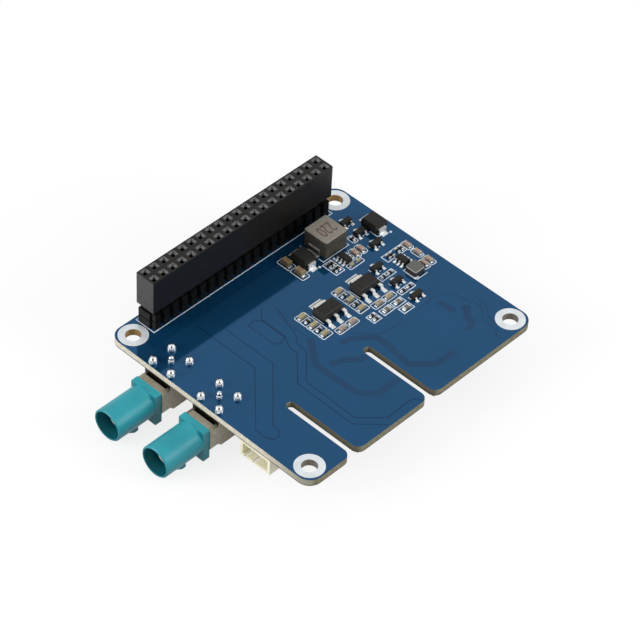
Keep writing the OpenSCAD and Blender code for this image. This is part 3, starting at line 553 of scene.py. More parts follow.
batch_right = 14.4 * mm
batch_far = -2.2 * mm
material, tree, shader = new_finish("fired_ceramic_tan", IOR=1.6)
place = axes(tree, "Object")
to_left = add(tree, "Math", {0: place["X"], 1: batch_right}, operation="LESS_THAN")
to_front = add(tree, "Math", {0: place["Y"], 1: batch_far}, operation="LESS_THAN")
other_batch = add(tree, "Math", {0: to_left.outputs[0], 1: to_front.outputs[0]}, operation="MULTIPLY")
fired = add(tree, "Mix", {0: other_batch.outputs[0], 6: speckle(tree, "8F8158", "ADA077", 0.4),
                          7: speckle(tree, "87756A", "AA9688", 0.4)}, data_type="RGBA")
coat(tree, shader, fired.outputs[2], ceramic_rough)
finishes["tan_ceramic"] = material
print("ceramics:", material.name, finishes["rose_ceramic"].name, brown_ceramic.name)

# %% [markdown]
# ## Chip resistors: alumina under a glass coat
# A chip resistor is a plate of alumina with its film under a coat of dark glass. Most are nearly black and
# shine softly. The three larger ones have a greyer coat, which shows its grain.

# %% Resistor coats
finishes["black_resistor"] = plain_finish("black_glass_coat", "151517", "222224", 0.3, (0.22, 0.35, 0.5),
                                          IOR=1.4)
grey_coat = plain_finish("grey_glass_coat", "5D5750", "7F7668", 0.35, (0.3, 0.45, 0.5), IOR=1.5)
print("coats:", finishes["black_resistor"].name, "and", grey_coat.name)

# %% [markdown]
# ## Inductor cores: pressed ferrite
# Ferrite powder is pressed and fired. The power inductor's top is ground flat, pale grey and gritty, and its
# pressed sides are dark. Which way a face points tells the two apart.

# %% Power inductor
material, tree, shader = new_finish("pressed_ferrite_grey", IOR=1.4)
upward = add(tree, "MapRange", {"Value": axes(tree, "Normal")["Z"], "From Min": 0.3, "From Max": 0.6})
core = add(tree, "Mix", {0: upward.outputs["Result"], 6: speckle(tree, "3B3831", "4B473F", 0.8),
                         7: speckle(tree, "857F76", "938D83", 0.35)}, data_type="RGBA")
coat(tree, shader, core.outputs[2], (0.6, 0.75, 0.5), (0.02, 0.15))
finishes["ferrite"] = material
print("made", material.name)

# %% [markdown]
# ## The small inductor: a dark base and a ground plate
# The small inductor has a dark pressed base and a ground plate on top. The plate's rim is painted pale, a
# painted highlight for the light that a rounded rim would catch. The CAD mesh stays as it is, so the rim is
# found by its height and by facing sideways.

# %% Small inductor
finishes["dark_ferrite"] = plain_finish("pressed_ferrite_dark", "1F1B18", "2C2723", 0.25, (0.5, 0.65, 0.5),
                                        (0.015, 0.15), IOR=1.6)
rim_foot = 1.25 * mm
material, tree, shader = new_finish("ground_ferrite_plate", IOR=1.6)
sideways = add(tree, "Math", {0: axes(tree, "Normal")["Z"], 1: 0.5}, operation="LESS_THAN")
near_top = add(tree, "Math", {0: axes(tree, "Object")["Z"], 1: rim_foot}, operation="GREATER_THAN")
rim_highlight = add(tree, "Math", {0: sideways.outputs[0], 1: near_top.outputs[0]}, operation="MULTIPLY")
# The pale rim colour is a painted highlight
plate = add(tree, "Mix", {0: rim_highlight.outputs[0], 6: speckle(tree, "4B4C48", "585954", 0.5),
                          7: linear("CFCDC5")}, data_type="RGBA")
coat(tree, shader, plate.outputs[2], (0.45, 0.6, 0.5))
finishes["grey_plate"] = material
print("finishes:", sorted(finishes))

# %% [markdown]
# ## Dressing the parts
# The part's record names a finish for each node. A material could be picked for each node by hand, but the
# record already knows, so a loop does it. A few nodes then get a finish of their own.

# %% Give every solid part its finish
for entry in frame["record"]["subparts"]:
    slots = parts[entry["node"]].data.materials
    for index in range(len(slots)):
        slots[index] = finishes[entry["material_slot"]]
own_finishes = {
    "resistor_bodies": grey_coat, "bulk_capacitor_bodies": brown_ceramic, "bulk_capacitor_ends": bulk_ends,
    "tan_capacitor_ends": capacitor_ends, "rose_capacitor_ends": capacitor_ends,
    "small_capacitor_ends": capacitor_ends, "header_spacer_upper": strip_finish,
    "header_spacer_lower": strip_finish, "power_inductor_terminals": inductor_clip,
    "regulator_leads": bent_tin, "regulator_bodies": edged_epoxy}
for name, finish in own_finishes.items():
    parts[name].data.materials[0] = finish

# %% [markdown]
# ## Helpers for modelling
# The pieces below are modelled with Blender's own operators, as by hand. An operator acts on what is
# selected. So before each step the helpers select one object, or its faces by the way they point, or its
# corners by their place.

# %% Helpers that select
def only(piece):
    """Selects one object and makes it the active one"""
    bpy.ops.object.select_all(action="DESELECT")
    piece.select_set(True)
    bpy.context.view_layer.objects.active = piece


def pick_faces(piece, test):
    """In edit mode, selects the faces whose normal passes the test"""
    bpy.ops.mesh.select_all(action="DESELECT")
    mesh = bmesh.from_edit_mesh(piece.data)
    for face in mesh.faces:
        if test(face.normal):
            face.select_set(True)
    bmesh.update_edit_mesh(piece.data)


def pick_corners(piece, test):
    """In edit mode, selects the vertices whose place passes the test"""
    bpy.ops.mesh.select_all(action="DESELECT")
    mesh = bmesh.from_edit_mesh(piece.data)
    for vertex in mesh.verts:
        vertex.select_set(test(vertex.co))
    bmesh.update_edit_mesh(piece.data)


def set_down(piece):
    """Moves an object's place into its mesh"""
    only(piece)
    bpy.ops.object.transform_apply(location=True, rotation=True, scale=True)


# %% [markdown]
# ## Helpers for copies
# What repeats is modelled once, and its mesh is copied to each place. Copies that share one mesh would be
# lighter, but here each is stretched in its own way. All copies of a kind are then joined to one piece, which
# is fixed to the board and gets its finish.

# %% Helpers that copy and join
def stamp(source, where, name="copy"):
    """A copy of a piece with its own mesh, put in place by a matrix"""
    copy = bpy.data.objects.new(name, source.data.copy())
    bpy.context.scene.collection.objects.link(copy)
    copy.data.transform(where)
    return copy


def join_as(pieces, name, finish):
    """Joins pieces to one object, names it, gives it a finish and fixes it to the board"""
    bpy.ops.object.select_all(action="DESELECT")
    for piece in pieces:
        piece.select_set(True)
    bpy.context.view_layer.objects.active = pieces[0]
    if len(pieces) > 1:
        bpy.ops.object.join()
    whole = bpy.context.view_layer.objects.active
    whole.name = name
    whole.data.name = name
    whole.data.materials.clear()
    whole.data.materials.append(finish)
    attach(whole, "root")
    print(name, "from", len(pieces), "pieces,", len(whole.data.polygons), "faces")
    return whole


def drop(piece):
    """Removes a model that was only there to be copied"""
    bpy.data.objects.remove(piece)


print("selected now:", len(bpy.context.selected_objects))

# %% [markdown]
# ## The finish of the mounting eyes
# Each mounting hole is drilled and plated through, like an eyelet: a tinned ring on both faces and a thin
# barrel between them. The rings are pale and soft. The barrels show copper through thin tin. Towards the far
# holes they are painted lighter and warmer, a painted light for the lit side of the barrel that the camera
# sees there.

# %% Eye finish
near_holes = -24 * mm
far_holes = 24 * mm
material, tree, shader = new_finish("tinned_eye", Metallic=0.3)
far_side_light = add(tree, "MapRange", {"Value": axes(tree, "Object")["Y"], "From Min": near_holes,
                                  "From Max": far_holes})
# Towards the far holes the barrel is painted lighter and warmer, a painted light
barrel = add(tree, "Mix", {0: far_side_light.outputs["Result"], 6: speckle(tree, "5E574B", "776E60", 0.7),
                           7: speckle(tree, "7A5B26", "A07C3C", 0.7)}, data_type="RGBA")
eye_colour = add(tree, "Mix", {0: along(tree, "Z", 0.5), 6: barrel.outputs[2],
                               7: speckle(tree, "D5DCE0", "E4EAED", 2.0)}, data_type="RGBA")
coat(tree, shader, eye_colour.outputs[2], (0.3, 0.45, 0.8), (0.01, 0.6))
eye_finish = material
print("eye finish:", len(tree.nodes), "nodes")

# %% [markdown]
# ## Plated eyes of the mounting holes
# An eye could be a cylinder with a hole cut in it. Spinning the eyelet's half section about the hole's axis
# gives the barrel, both rings and clean rims at once. The section is drawn first: one vertex is pulled out
# from corner to corner.

# %% Half section of an eye
hole_places = [(sx * 29 * mm, sy * 24.5 * mm) for sx in (-1, 1) for sy in (-1, 1)]
board_thick = 1.6 * mm
eye_inner = 1.67 * mm
eye_outer = 3.13 * mm
eye_wall = 0.1 * mm
eye_lift = 0.03 * mm
merge_within = 0.005 * mm

section = [(eye_inner, -board_thick - eye_lift), (eye_outer, -board_thick - eye_lift),
           (eye_outer, -board_thick), (eye_inner + eye_wall, -board_thick), (eye_inner + eye_wall, 0),
           (eye_outer, 0), (eye_outer, eye_lift), (eye_inner, eye_lift)]
bpy.ops.mesh.primitive_plane_add(size=mm, location=(section[0][0], 0, section[0][1]))
eye = bpy.context.object
set_down(eye)
bpy.ops.object.mode_set(mode="EDIT")
bpy.ops.mesh.select_all(action="SELECT")
bpy.ops.mesh.merge(type="CENTER")
for here, there in zip(section, section[1:] + section[:1]):
    bpy.ops.mesh.extrude_vertices_move(
        TRANSFORM_OT_translate={"value": (there[0] - here[0], 0, there[1] - here[1])})
bpy.ops.mesh.select_all(action="SELECT")
bpy.ops.mesh.remove_doubles(threshold=merge_within)
print("section drawn with", len(section), "corners")

# %% Spin the section and copy the eye
bpy.ops.mesh.spin(steps=72, angle=2 * math.pi, center=(0, 0, 0), axis=(0, 0, 1))
bpy.ops.mesh.select_all(action="SELECT")
bpy.ops.mesh.remove_doubles(threshold=merge_within)
bpy.ops.mesh.normals_make_consistent(inside=False)
bpy.ops.object.mode_set(mode="OBJECT")
only(eye)
bpy.ops.object.shade_smooth_by_angle(angle=math.radians(30))
eyes = [stamp(eye, Matrix.Translation((x, y, 0))) for x, y in hole_places]
drop(eye)
join_as(eyes, "mounting_eyes", eye_finish)

# %% [markdown]
# ## Pads and solder at the chip parts
# Each leg and each metal end stands on a tinned pad, and a fillet of solder climbs from the pad up its outer
# side. Both could be drawn by hand at each of the 144 ends. Instead, each is modelled once, one unit long,
# wide and high, and copies are stretched to the size of each end. Where the ends are is read from the solid
# parts, each of which is a set of loose solids.

# %% Find the loose solids of a part
def loose_solids(name):
    """Lowest and highest corner of each loose solid of a part"""
    mesh = parts[name].data
    points = [tuple(round(c, 6) for c in v.co) for v in mesh.vertices]
    leader = {p: p for p in points}

    def lead(p):
        while leader[p] != p:
            leader[p] = leader[leader[p]]
            p = leader[p]
        return p

    for face in mesh.polygons:
        first = lead(points[face.vertices[0]])
        for index in face.vertices:
            leader[lead(points[index])] = first
    groups = {}
    for p in set(points):
        groups.setdefault(lead(p), []).append(p)
    boxes = [(Vector(map(min, zip(*group))), Vector(map(max, zip(*group)))) for group in groups.values()]
    return sorted(boxes, key=lambda box: (round(box[0].x, 5), round(box[0].y, 5)))


print("legs of the small transistors:", len(loose_solids("transistor_leads")))

# %% [markdown]
# ## One solder fillet
# Molten solder pulls itself into a hollow curve between the pad and the metal. The fillet is a block whose
# outer face is pressed down to a low toe. Its top is then cut twice and sunk at the cuts, which gives the
# hollow curve with three flats, and is drawn a little narrower than its foot. A curve with more steps
# wouldn't show at this size.

# %% Model one fillet
toe = 0.12
cuts_and_sinks = ((0.62, 0.1), (0.28, 0.14))
top_width = 0.82
near = 0.01
bpy.ops.mesh.primitive_cube_add(size=1, location=(0.5, 0, 0.5))
fillet = bpy.context.object
set_down(fillet)
bpy.ops.object.mode_set(mode="EDIT")
pick_faces(fillet, lambda normal: normal.x > 0.5)
bpy.ops.transform.resize(value=(1, 1, toe))
bpy.ops.transform.translate(value=(0, 0, (toe - 1) / 2))
for cut, sink in cuts_and_sinks:
    bpy.ops.mesh.select_all(action="SELECT")
    bpy.ops.mesh.bisect(plane_co=(cut, 0, 0), plane_no=(1, 0, 0))
    pick_corners(fillet, lambda place: abs(place.x - cut) < near and place.z > near)
    bpy.ops.transform.translate(value=(0, 0, -sink))
pick_corners(fillet, lambda place: place.z > near)
bpy.ops.transform.resize(value=(1, top_width, 1), center_override=(0, 0, 0))
bpy.ops.mesh.select_all(action="SELECT")
bpy.ops.mesh.normals_make_consistent(inside=False)
bpy.ops.object.mode_set(mode="OBJECT")
print("fillet faces:", len(fillet.data.polygons))

# %% [markdown]
# ## One pad
# A pad is a thin plate of copper that the solder has wetted. Its top is raised and drawn in a little on all
# sides, as a film of liquid is. A plain box would do from far off, but its sharp rim catches no light.

# %% Model one pad
draw_in = 0.05
film = 0.3
bpy.ops.mesh.primitive_cube_add(size=1, location=(0.5, 0, 0.5))
pad = bpy.context.object
set_down(pad)
bpy.ops.object.mode_set(mode="EDIT")
pick_faces(pad, lambda normal: normal.z > 0.5)
bpy.ops.mesh.inset(thickness=draw_in)
bpy.ops.transform.translate(value=(0, 0, film))
bpy.ops.object.mode_set(mode="OBJECT")
print("pad faces:", len(pad.data.polygons))

# %% [markdown]
# ## The size of each pad
# Each kind of part has its own size of pad, as in a real footprint. One size for all would hide the small
# parts and starve the big ones.

# %% Sizes of the pads
# Millimetres: how far the pad reaches under and past the end, how much wider it is on each side, and how far
# the fillet reaches; the last number is the share of the end's height that it climbs
chip_pads = (
    ("bulk_capacitor_bodies", "bulk_capacitor_ends", 0.45, 0.3, -0.06, 0.14, 0.3),
    ("tan_capacitor_bodies", "tan_capacitor_ends", 0.3, 0.24, -0.04, 0.1, 0.3),
    ("rose_capacitor_bodies", "rose_capacitor_ends", 0.3, 0.24, -0.04, 0.1, 0.3),
    ("small_capacitor_bodies", "small_capacitor_ends", 0.24, 0.15, -0.05, 0.08, 0.3),
    ("small_resistor_bodies", "small_resistor_ends", 0.24, 0.15, -0.05, 0.08, 0.3),
    ("resistor_bodies", "resistor_ends", 0.3, 0.24, -0.04, 0.1, 0.3),
    ("underside_capacitor_bodies", "underside_capacitor_ends", 0.3, 0.32, 0.04, 0.16, 0.4),
    ("transistor_bodies", "transistor_leads", 0.4, 0.32, 0.17, 0.1, 0.12),
    ("switch_chip_bodies", "switch_chip_leads", 0.5, 0.36, 0.1, 0.1, 0.12),
    ("regulator_bodies", "regulator_leads", 0.8, 0.5, 0.14, 0.08, 0.08),
    ("diode_bodies", "diode_terminals", 0.9, 0.85, -0.18, 0.1, 0.08),
    ("power_inductor_core", "power_inductor_terminals", 0.5, 0.6, 0.1, 0.2, 0.1))
print("kinds of pads:", len(chip_pads))

# %% [markdown]
# ## Which way an end looks
# The nearest body tells which way is outwards. From that and the end's box come the place of its outer foot,
# its turn, its width and its height above the board. On the underside, height is measured downwards.

# %% Measure one end
def measure_end(low, high, middles):
    """Aim of an end's outer foot as a matrix, the end's width and height, and 1 on top or -1 underneath"""
    middle = (low + high) / 2
    away = middle - min(middles, key=lambda m: (m - middle).length)
    along_x = abs(away.x) > abs(away.y)
    outwards = (away.x if along_x else away.y) > 0
    outer = high if outwards else low
    side = 1 if middle.z > -board_thick / 2 else -1
    level_z = 0 if side > 0 else -board_thick
    foot = Vector((outer.x, middle.y, level_z)) if along_x else Vector((middle.x, outer.y, level_z))
    turn = (0 if along_x else math.pi / 2) + (0 if outwards else math.pi)
    wide = high.y - low.y if along_x else high.x - low.x
    tall = high.z if side > 0 else level_z - low.z
    return Matrix.Translation(foot) @ Matrix.Rotation(turn, 4, "Z"), wide, tall, side


tab_low, tab_high = loose_solids("diode_terminals")[0]
print("a diode's terminal is", round((tab_high.z - tab_low.z) / mm, 2), "mm tall")

# %% [markdown]
# ## A pad and a fillet at each end
# The unit pad and the unit fillet are copied to each end, turned outwards and stretched. On the underside
# the stretch also mirrors them, which turns them inside out, so their faces are flipped back. The
# regulators' wide tabs have shorter pads than their legs.

# %% Lay the pads and fillets
pad_high = 0.03 * mm
least_fillet = 0.05 * mm
fillet_width = 0.96
tab_wide = 2.5 * mm
past_tab = 0.45
laid = []
soldered = []
for bodies, ends, under, past, wider, reach, climb in chip_pads:
    middles = [(low + high) / 2 for low, high in loose_solids(bodies)]
    for low, high in loose_solids(ends):
        aim, wide, tall, side = measure_end(low, high, middles)
        is_tab = wide > tab_wide and ends == "regulator_leads"
        beyond = (past_tab if is_tab else past) * mm
        climbed = side * max(tall * climb, least_fillet)
        fillet_size = Matrix.Diagonal((reach * mm, wide * fillet_width, climbed, 1))
        pad_size = Matrix.Diagonal((beyond + under * mm, wide + 2 * wider * mm, side * pad_high, 1))
        soldered.append(stamp(fillet, aim @ fillet_size))
        laid.append(stamp(pad, aim @ Matrix.Translation((-under * mm, 0, 0)) @ pad_size))
        if side < 0:
            soldered[-1].data.flip_normals()
            laid[-1].data.flip_normals()
drop(fillet)
drop(pad)
chip_solder = join_as(soldered, "chip_solder", finishes["solder"])
only(chip_solder)
bpy.ops.object.shade_smooth_by_angle(angle=math.radians(40))
join_as(laid, "chip_pads", pad_finish)

# %% [markdown]
# ## Printed lines
# White lines are screen printed on the mask round the parts, to show where each one goes. They are about
# 0.2 mm wide and thinner than paper. Each could be a set of flat boxes, but those would cross at the corners.
# Here a single vertex is drawn out from point to point, raised to a low wall, and given its width by a
# Solidify modifier with even thickness, which turns clean corners.

# %% Draw lines on the board
def drawn_line(points, width, lift):
    """Flat line of one width in mm through (x, y) points in mm; a last point like the first closes it"""
    x, y = points[0]
    sunk = 0.01
    bpy.ops.object.select_all(action="DESELECT")
    bpy.ops.mesh.primitive_plane_add(size=mm, location=(x * mm, y * mm, -sunk * mm))
    line = bpy.context.object
    bpy.ops.object.transform_apply(location=True, rotation=False, scale=False)
    bpy.ops.object.mode_set(mode="EDIT")
    bpy.ops.mesh.select_all(action="SELECT")
    bpy.ops.mesh.merge(type="CENTER")
    for here, there in zip(points, points[1:]):
        bpy.ops.mesh.extrude_vertices_move(
            TRANSFORM_OT_translate={"value": ((there[0] - here[0]) * mm, (there[1] - here[1]) * mm, 0)})
    bpy.ops.mesh.select_all(action="SELECT")
    bpy.ops.mesh.remove_doubles(threshold=0.001 * mm)
    bpy.ops.mesh.extrude_edges_move(TRANSFORM_OT_translate={"value": (0, 0, (lift + sunk) * mm)})
    bpy.ops.object.mode_set(mode="OBJECT")
    thick = line.modifiers.new("width", "SOLIDIFY")
    thick.thickness = width * mm
    thick.offset = 0
    thick.use_even_offset = True
    bpy.ops.object.modifier_apply(modifier="width")
    bpy.ops.object.mode_set(mode="EDIT")
    bpy.ops.mesh.select_all(action="SELECT")
    bpy.ops.mesh.normals_make_consistent(inside=False)
    bpy.ops.object.mode_set(mode="OBJECT")
    return line


# %% [markdown]
# ## Outlines as points
# A helper lists the corners of a box, plain or with its corners cut off. Another lists those of a column of
# boxes, whose sides are nicked where two boxes meet. Typing the points would do for one part, but not for
# dozens.

# %% Helpers for outlines
def box_outline(x0, x1, y0, y1, cut=0.0):
    """Closed outline of a box as points, with its corners cut off by this much"""
    if not cut:
        return [(x0, y0), (x1, y0), (x1, y1), (x0, y1), (x0, y0)]
    return [(x0 + cut, y0), (x1 - cut, y0), (x1, y0 + cut), (x1, y1 - cut), (x1 - cut, y1), (x0 + cut, y1),
            (x0, y1 - cut), (x0, y0 + cut), (x0 + cut, y0)]


def column_outline(x0, x1, top, pitch, rows, cut):
    """Closed outline of a column of boxes with cut corners, which share the lines between them"""
    levels = [top - pitch * row for row in range(rows)]
    left = [point for y in levels for point in ((x0 + cut, y), (x0, y - cut), (x0, y - pitch + cut))]
    right = [point for y in reversed(levels)
             for point in ((x1 - cut, y - pitch), (x1, y - pitch + cut), (x1, y - cut))]
    bottom = top - pitch * rows
    return left + [(x0 + cut, bottom)] + right + [(x1 - cut, top), (x0 + cut, top)]


print("a box outline has", len(box_outline(0, 1, 0, 1)), "points")

# %% [markdown]
# ## Where the lines run
# Most parts stand in a box of their own, many with cut corners, and two columns of five boxes share the
# lines between them. Some parts only have a bar or a bracket. The places are in millimetres from the middle
# of the four mounting holes.

# %% Boxes and brackets round the parts
outlines = [
    box_outline(-25.55, 25.6, 22.15, 27.3),
    box_outline(6.65, 8.75, 16.0, 19.7, 0.25),
    box_outline(6.65, 8.75, 12.1, 15.9, 0.25),
    box_outline(0.9, 3.8, -3.95, -2.25, 0.2),
    box_outline(3.9, 6.65, -3.95, -2.25, 0.2),
    box_outline(11.3, 14.3, -3.95, -2.25, 0.2),
    box_outline(14.6, 17.6, -3.95, -2.25, 0.2),
    box_outline(11.4, 14.25, -6.35, -4.65),
    box_outline(14.7, 17.6, -6.4, -4.7),
    box_outline(14.7, 17.6, -8.7, -7.0),
    box_outline(8.25, 10.45, -6.4, -4.1),
    box_outline(18.2, 22.35, 0.8, 2.2),
    box_outline(18.2, 22.35, -4.65, -3.3),
    box_outline(12.75, 15.2, 8.5, 12.5),
    box_outline(16.1, 20.2, 7.6, 9.1, 0.2),
    box_outline(22.25, 23.7, 12.6, 14.8, 0.3),
    box_outline(19.4, 21.1, 9.1, 11.9, 0.35),
    box_outline(21.2, 22.9, 9.1, 11.9, 0.35),
    box_outline(23.3, 28.9, 3.9, 5.9),
    box_outline(29.05, 30.55, 3.3, 6.0, 0.3),
    box_outline(28.95, 30.45, 0.3, 3.1, 0.3),
    box_outline(27.2, 29.0, -2.9, -0.1, 0.3),
    box_outline(29.15, 30.7, -2.9, -0.1, 0.3),
    [(24.9, 0.1), (23.75, 0.1), (23.75, -0.6)],
    [(23.8, -3.66), (27.0, -3.66)],
    [(8.25, -5.25), (10.45, -5.25)],
    [(13.65, 14.5), (13.65, 13.1), (21.2, 13.1), (21.2, 13.7)],
    [(13.65, 18.4), (13.65, 19.9)],
    [(27.3, 13.0), (27.3, 10.6), (28.3, 10.6)],
    [(9.05, 15.65), (9.05, 13.25), (10.05, 13.25)],
    [(0.75, 0.55), (0.75, 3.65)],
    [(11.35, 0.55), (11.35, 3.65)],
]
print("boxes and brackets:", len(outlines))

# %% Columns, bars at the transistors, and the wide bracket
ink = 0.19
ink_lift = 0.02
column_lefts = (-2.5, 8.15)
column_wide = 2.75
column_cut = 0.2
column_top = 5.7
column_rows = 5
row_pitch = 1.67
for left in column_lefts:
    outlines.append(column_outline(left, left + column_wide, column_top, row_pitch, column_rows, column_cut))
    for row in range(1, column_rows):
        shared = column_top - row_pitch * row
        outlines.append([(left + column_cut, shared), (left + column_wide - column_cut, shared)])

transistor_places = [(25.35, 18.1), (25.35, 14.0), (25.3, 9.4), (20.2, 4.3), (20.2, -1.3), (20.2, -6.8)]
bar_beside, bar_long = 1.55, 0.8
tick_below, tick_left, tick_right = 1.05, 0.2, 0.28
for x, y in transistor_places:
    outlines.append([(x - bar_beside, y), (x - bar_beside, y + bar_long)])
    outlines.append([(x - tick_left, y - tick_below), (x + tick_right, y - tick_below)])
lines = [drawn_line(points, ink, ink_lift) for points in outlines]

wide_ink = 0.45
wide_bracket = [(23.82, -0.5), (23.82, -3.22), (24.8, -3.22)]
lines.append(drawn_line(wide_bracket, wide_ink, ink_lift))
print("printed lines:", len(lines))

# %% [markdown]
# ## Printed dots
# A dot marks the first leg of a chip or the plus end of a diode. It is a low disc with its rim drawn in, as
# ink that has settled. The ink is a matt white with a touch of blue from the mask below it.

# %% Printed dots
dot_places = [(12.05, 12.6), (30.35, 9.85), (16.0, 12.3)]
dot_radius = 0.3 * mm
dot_depth = 0.06 * mm
dot_rim = 0.05 * mm
dot_swell = 0.01 * mm
bpy.ops.mesh.primitive_cylinder_add(vertices=24, radius=dot_radius, depth=dot_depth, location=(0, 0, 0))
dot = bpy.context.object
bpy.ops.object.mode_set(mode="EDIT")
pick_faces(dot, lambda normal: normal.z > 0.5)
bpy.ops.mesh.inset(thickness=dot_rim)
bpy.ops.transform.translate(value=(0, 0, dot_swell))
bpy.ops.object.mode_set(mode="OBJECT")
dots = [stamp(dot, Matrix.Translation((x * mm, y * mm, 0))) for x, y in dot_places]
drop(dot)
ink_rough = (0.5, 0.7, 0.4)
ink_finish = plain_finish("screen_print_white", "D8E4F0", "F0F6FC", 0.6, ink_rough, IOR=1.5)
join_as(lines + dots, "printed_lines", ink_finish)

# %% [markdown]
# ## Traces under the mask
# The mask lies a little lower in the gaps between areas of copper, and a gap shows through it as a fine
# darker line. Where a trace is wide, its whole run has another shade. Both could be bumps in the mask's
# shader, but their routes are particular to this board. They are drawn with the same helper, a hair above
# the mask, in the mask's own finish one shade darker.

# %% Finishes for traces and gaps
mask_copper = {"IOR": 1.4, "Metallic": copper_share}
mask_rough = (0.06, 0.1, 3.0)
gap_finish = plain_finish("solder_mask_over_gap", "08304F", "0B365A", 6.0, mask_rough, **mask_copper)
trace_finish = plain_finish("solder_mask_over_trace", "133D60", "174166", 6.0, mask_rough, **mask_copper)
print("shades of mask:", gap_finish.name, trace_finish.name)

# %% Gaps round the copper areas
gap_wide = 0.2
gap_lift = 0.014
gaps = [
    [(-18, 18), (-18, 1.3), (-29.7, -10.7), (-29.8, -13.5), (-28.9, -15), (-27.6, -15), (-26.6, -14),
     (-26.6, -12.3), (-14.5, -0.3), (-14.5, 13)],
    [(-4.9, 12.4), (-7.3, 10.2), (-7.4, 3.4), (-8.8, 0.9), (-9.1, -1.7), (-15, -7.6), (-15, -22.5),
     (-10.3, -27.4)],
    [(-3, 9.3), (-5.6, 2), (-7, 0.6), (-7.3, -2.5), (-13.3, -8.3), (-13.5, -21.7), (-8.9, -26.1),
     (-2.2, -25.9), (-1.1, -26.5), (-0.5, -27.6)],
    [(-10.6, 10.4), (-8.6, 11), (-7.6, 9.5), (-7.6, 3.2), (-9.6, 2.6), (-10.5, 3.5), (-10.5, 8.4),
     (-10.6, 10.4)],
]
join_as([drawn_line(points, gap_wide, gap_lift) for points in gaps], "mask_gaps", gap_finish)

# %% Wide and narrow traces
wide_traces = [
    [(-4.1, -0.4), (-6.1, -3.1), (-8.5, -6.3), (-8.6, -11.4), (-8.2, -17.5), (-5.5, -20.3), (0.6, -20.3)],
    [(-6.5, -8.2), (-3.9, -9.1), (-1.6, -11.2), (0.4, -11.9)],
    [(-0.7, -5.4), (1.5, -6.1), (5.7, -9.3), (5.8, -12), (4.9, -19), (8.8, -22.7), (14.3, -23)],
    [(22.2, -11), (22.4, -13.1), (22.5, -15.2)],
    [(24.4, -15.4), (25.1, -16.3), (23, -18.2), (23, -19.7), (21.4, -20.5), (20.6, -19.7)],
]
narrow_traces = [
    [(-2.4, 10.6), (-4, 8.2), (-4.4, 5.2), (-4.3, 0.6)],
    [(2.4, -4.9), (7.4, -9.4), (10.6, -9.8), (13, -9.6)],
    [(17.6, -9.8), (22, -9.5), (23.5, -9.7), (24.6, -10.4), (26.4, -12.1), (26.6, -14.3), (26.7, -15.9)],
    [(27.6, -15.2), (28.6, -15.5), (28.5, -18.7), (26.5, -20.6), (25.8, -23)],
    [(27.3, -15.6), (27.3, -18.4), (24.9, -20.6), (24.8, -24.3), (23.5, -25.9)],
]
# A narrow trace lies a little higher than a wide one, so the two never share a face
wide_width, wide_lift = 1.5, 0.008
narrow_width, narrow_lift = 0.3, 0.01
runs = [drawn_line(points, wide_width, wide_lift) for points in wide_traces]
runs += [drawn_line(points, narrow_width, narrow_lift) for points in narrow_traces]
join_as(runs, "mask_traces", trace_finish)

# %% [markdown]
# ## The number on the power inductor
# Inductors carry their value as a plain number. It could be cut into the core, but the real one is printed.
# It is typed as text, made a mesh, given a hair of thickness and laid on the top of the core.

# %% Inductor number
number_size = 4.5 * mm
number_thick = 0.02 * mm
number_narrow = 0.6
low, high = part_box("power_inductor_core")
bpy.ops.object.text_add(location=(0, 0, 0))
number = bpy.context.object
number.data.body = "220"
number.data.size = number_size
number.data.align_x = "CENTER"
number.data.align_y = "CENTER"
number.data.extrude = number_thick
bpy.ops.object.convert(target="MESH")
number = bpy.context.object
number.data.transform(Matrix.Translation(((low.x + high.x) / 2, (low.y + high.y) / 2, high.z))
                      @ Matrix.Rotation(math.pi, 4, "Z") @ Matrix.Diagonal((number_narrow, 1, 1, 1)))
number_ink = plain_finish("marking_ink_brown", "584038", "6A5148", 0.3, ink_rough, IOR=1.5)
join_as([number], "inductor_number", number_ink)

# %% [markdown]
# ## White to the eye, pale as a light
# The photograph is cut out on white. More lamp light would whiten the floor, but would bleach the object
# too. So floor and world are white only where they are seen, by the camera or in a reflection, and are
# softer for the light that they throw on the object.

# %% Helper for what is seen
def seen_directly(tree):
    """Is 1 for what the camera sees straight on, mirrored or through glass, and 0 for light that bounces"""
    rays = add(tree, "LightPath").outputs
    seen = add(tree, "Math", {0: rays["Is Camera Ray"], 1: rays["Is Glossy Ray"]}, operation="MAXIMUM")
    seen = add(tree, "Math", {0: seen.outputs[0], 1: rays["Is Transmission Ray"]}, operation="MAXIMUM")
    return seen.outputs[0]


print("materials before the floor:", len(bpy.data.materials))

# %% [markdown]
# ## The floor
# A pale floor lies right under the lowest part and runs far past the frame. Where it is seen, it glows to
# almost white, and a little plain diffuse shading keeps a faint, soft shadow on it.

# %% Floor
floor_size = 4
glow_share = 0.8
shade_share = 0.215
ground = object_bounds()[0][2]
bpy.ops.object.select_all(action="DESELECT")
bpy.ops.mesh.primitive_plane_add(size=floor_size, location=(0, 0, ground))
floor = bpy.context.object
floor.name = "floor"
material, tree, shader = new_finish("pale_floor", Roughness=0.9, Specular_IOR_Level=0.1)
tree.links.new(speckle(tree, "C4C4C4", "CACACA", 40.0), shader.inputs["Base Color"])
glow = add(tree, "Emission", {"Color": (1, 1, 1, 1), "Strength": glow_share})
shade = add(tree, "BsdfDiffuse", {"Color": (shade_share, shade_share, shade_share, 1)})
as_seen = add(tree, "AddShader", {0: shade.outputs[0], 1: glow.outputs[0]})
floor_mix = add(tree, "MixShader", {0: seen_directly(tree), 1: shader.outputs[0], 2: as_seen.outputs[0]})
tree.links.new(floor_mix.outputs[0], tree.nodes["Material Output"].inputs["Surface"])
floor.data.materials.append(material)
print("floor at z", round(ground / mm, 2), "mm")

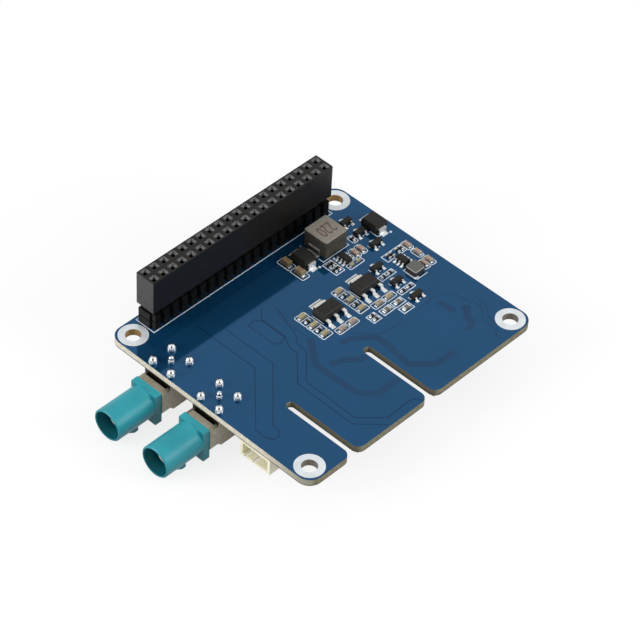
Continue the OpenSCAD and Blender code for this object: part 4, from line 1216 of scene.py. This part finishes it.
# %% [markdown]
# ## The world
# The world is white to the camera and in reflections, so gloss and metal have something pale to mirror, and
# softer as a light. Only the room behind the camera is dark, and it shows as the dark spot in each bead of
# solder. A picture of a studio could be used instead, but nothing in it would show better than this.

# %% World
ambient = 0.6
room = 0.15
room_rim, room_middle = 0.8, 0.96
bpy.context.scene.view_settings.view_transform = "Standard"
world = bpy.data.worlds.new("studio")
bpy.context.scene.world = world
world.use_nodes = True
tree = world.node_tree
tree.nodes.clear()
soft = add(tree, "Background", {"Color": (1, 1, 1, 1), "Strength": ambient})
to_camera = add(tree, "VectorMath", {0: add(tree, "TexCoord").outputs["Generated"], 1: back},
                operation="DOT_PRODUCT")
behind_camera = add(tree, "MapRange", {"Value": to_camera.outputs["Value"], "From Min": room_rim,
                                       "From Max": room_middle, "To Min": 1.0, "To Max": room})
white = add(tree, "Background", {"Color": (1, 1, 1, 1), "Strength": behind_camera.outputs["Result"]})
mix = add(tree, "MixShader", {0: seen_directly(tree), 1: soft.outputs[0], 2: white.outputs[0]})
add(tree, "OutputWorld", {"Surface": mix.outputs[0]})
print("world:", len(tree.nodes), "nodes")

# %% [markdown]
# ## The lamps
# Two large, low lamps stand to the left and in front. Their places were chosen by reflection: the slopes in
# the socket's mouths and the bent legs of the chips face halfway between camera and lamp, so they flash
# bright as in the photograph. The front lamp stands as far to the left as that allows, which keeps it out
# of the board's mirror when the board is seen from behind.

# %% Lamps
lamp_size = 0.45
lamp_distance = 0.8
for name, aim, power in (("left_lamp", (-0.81, 0.40, 0.42), 3.2), ("front_lamp", (0.40, -0.81, 0.44), 2.9)):
    lamp_data = bpy.data.lights.new(name, "AREA")
    lamp_data.shape = "DISK"
    lamp_data.size = lamp_size
    lamp_data.energy = power
    lamp = bpy.data.objects.new(name, lamp_data)
    bpy.context.scene.collection.objects.link(lamp)
    lamp.location = lamp_distance * Vector(aim).normalized()
    lamp.rotation_euler = (-lamp.location).to_track_quat("-Z", "Y").to_euler()
    print(name, power, "W at", [round(c, 2) for c in lamp.location])
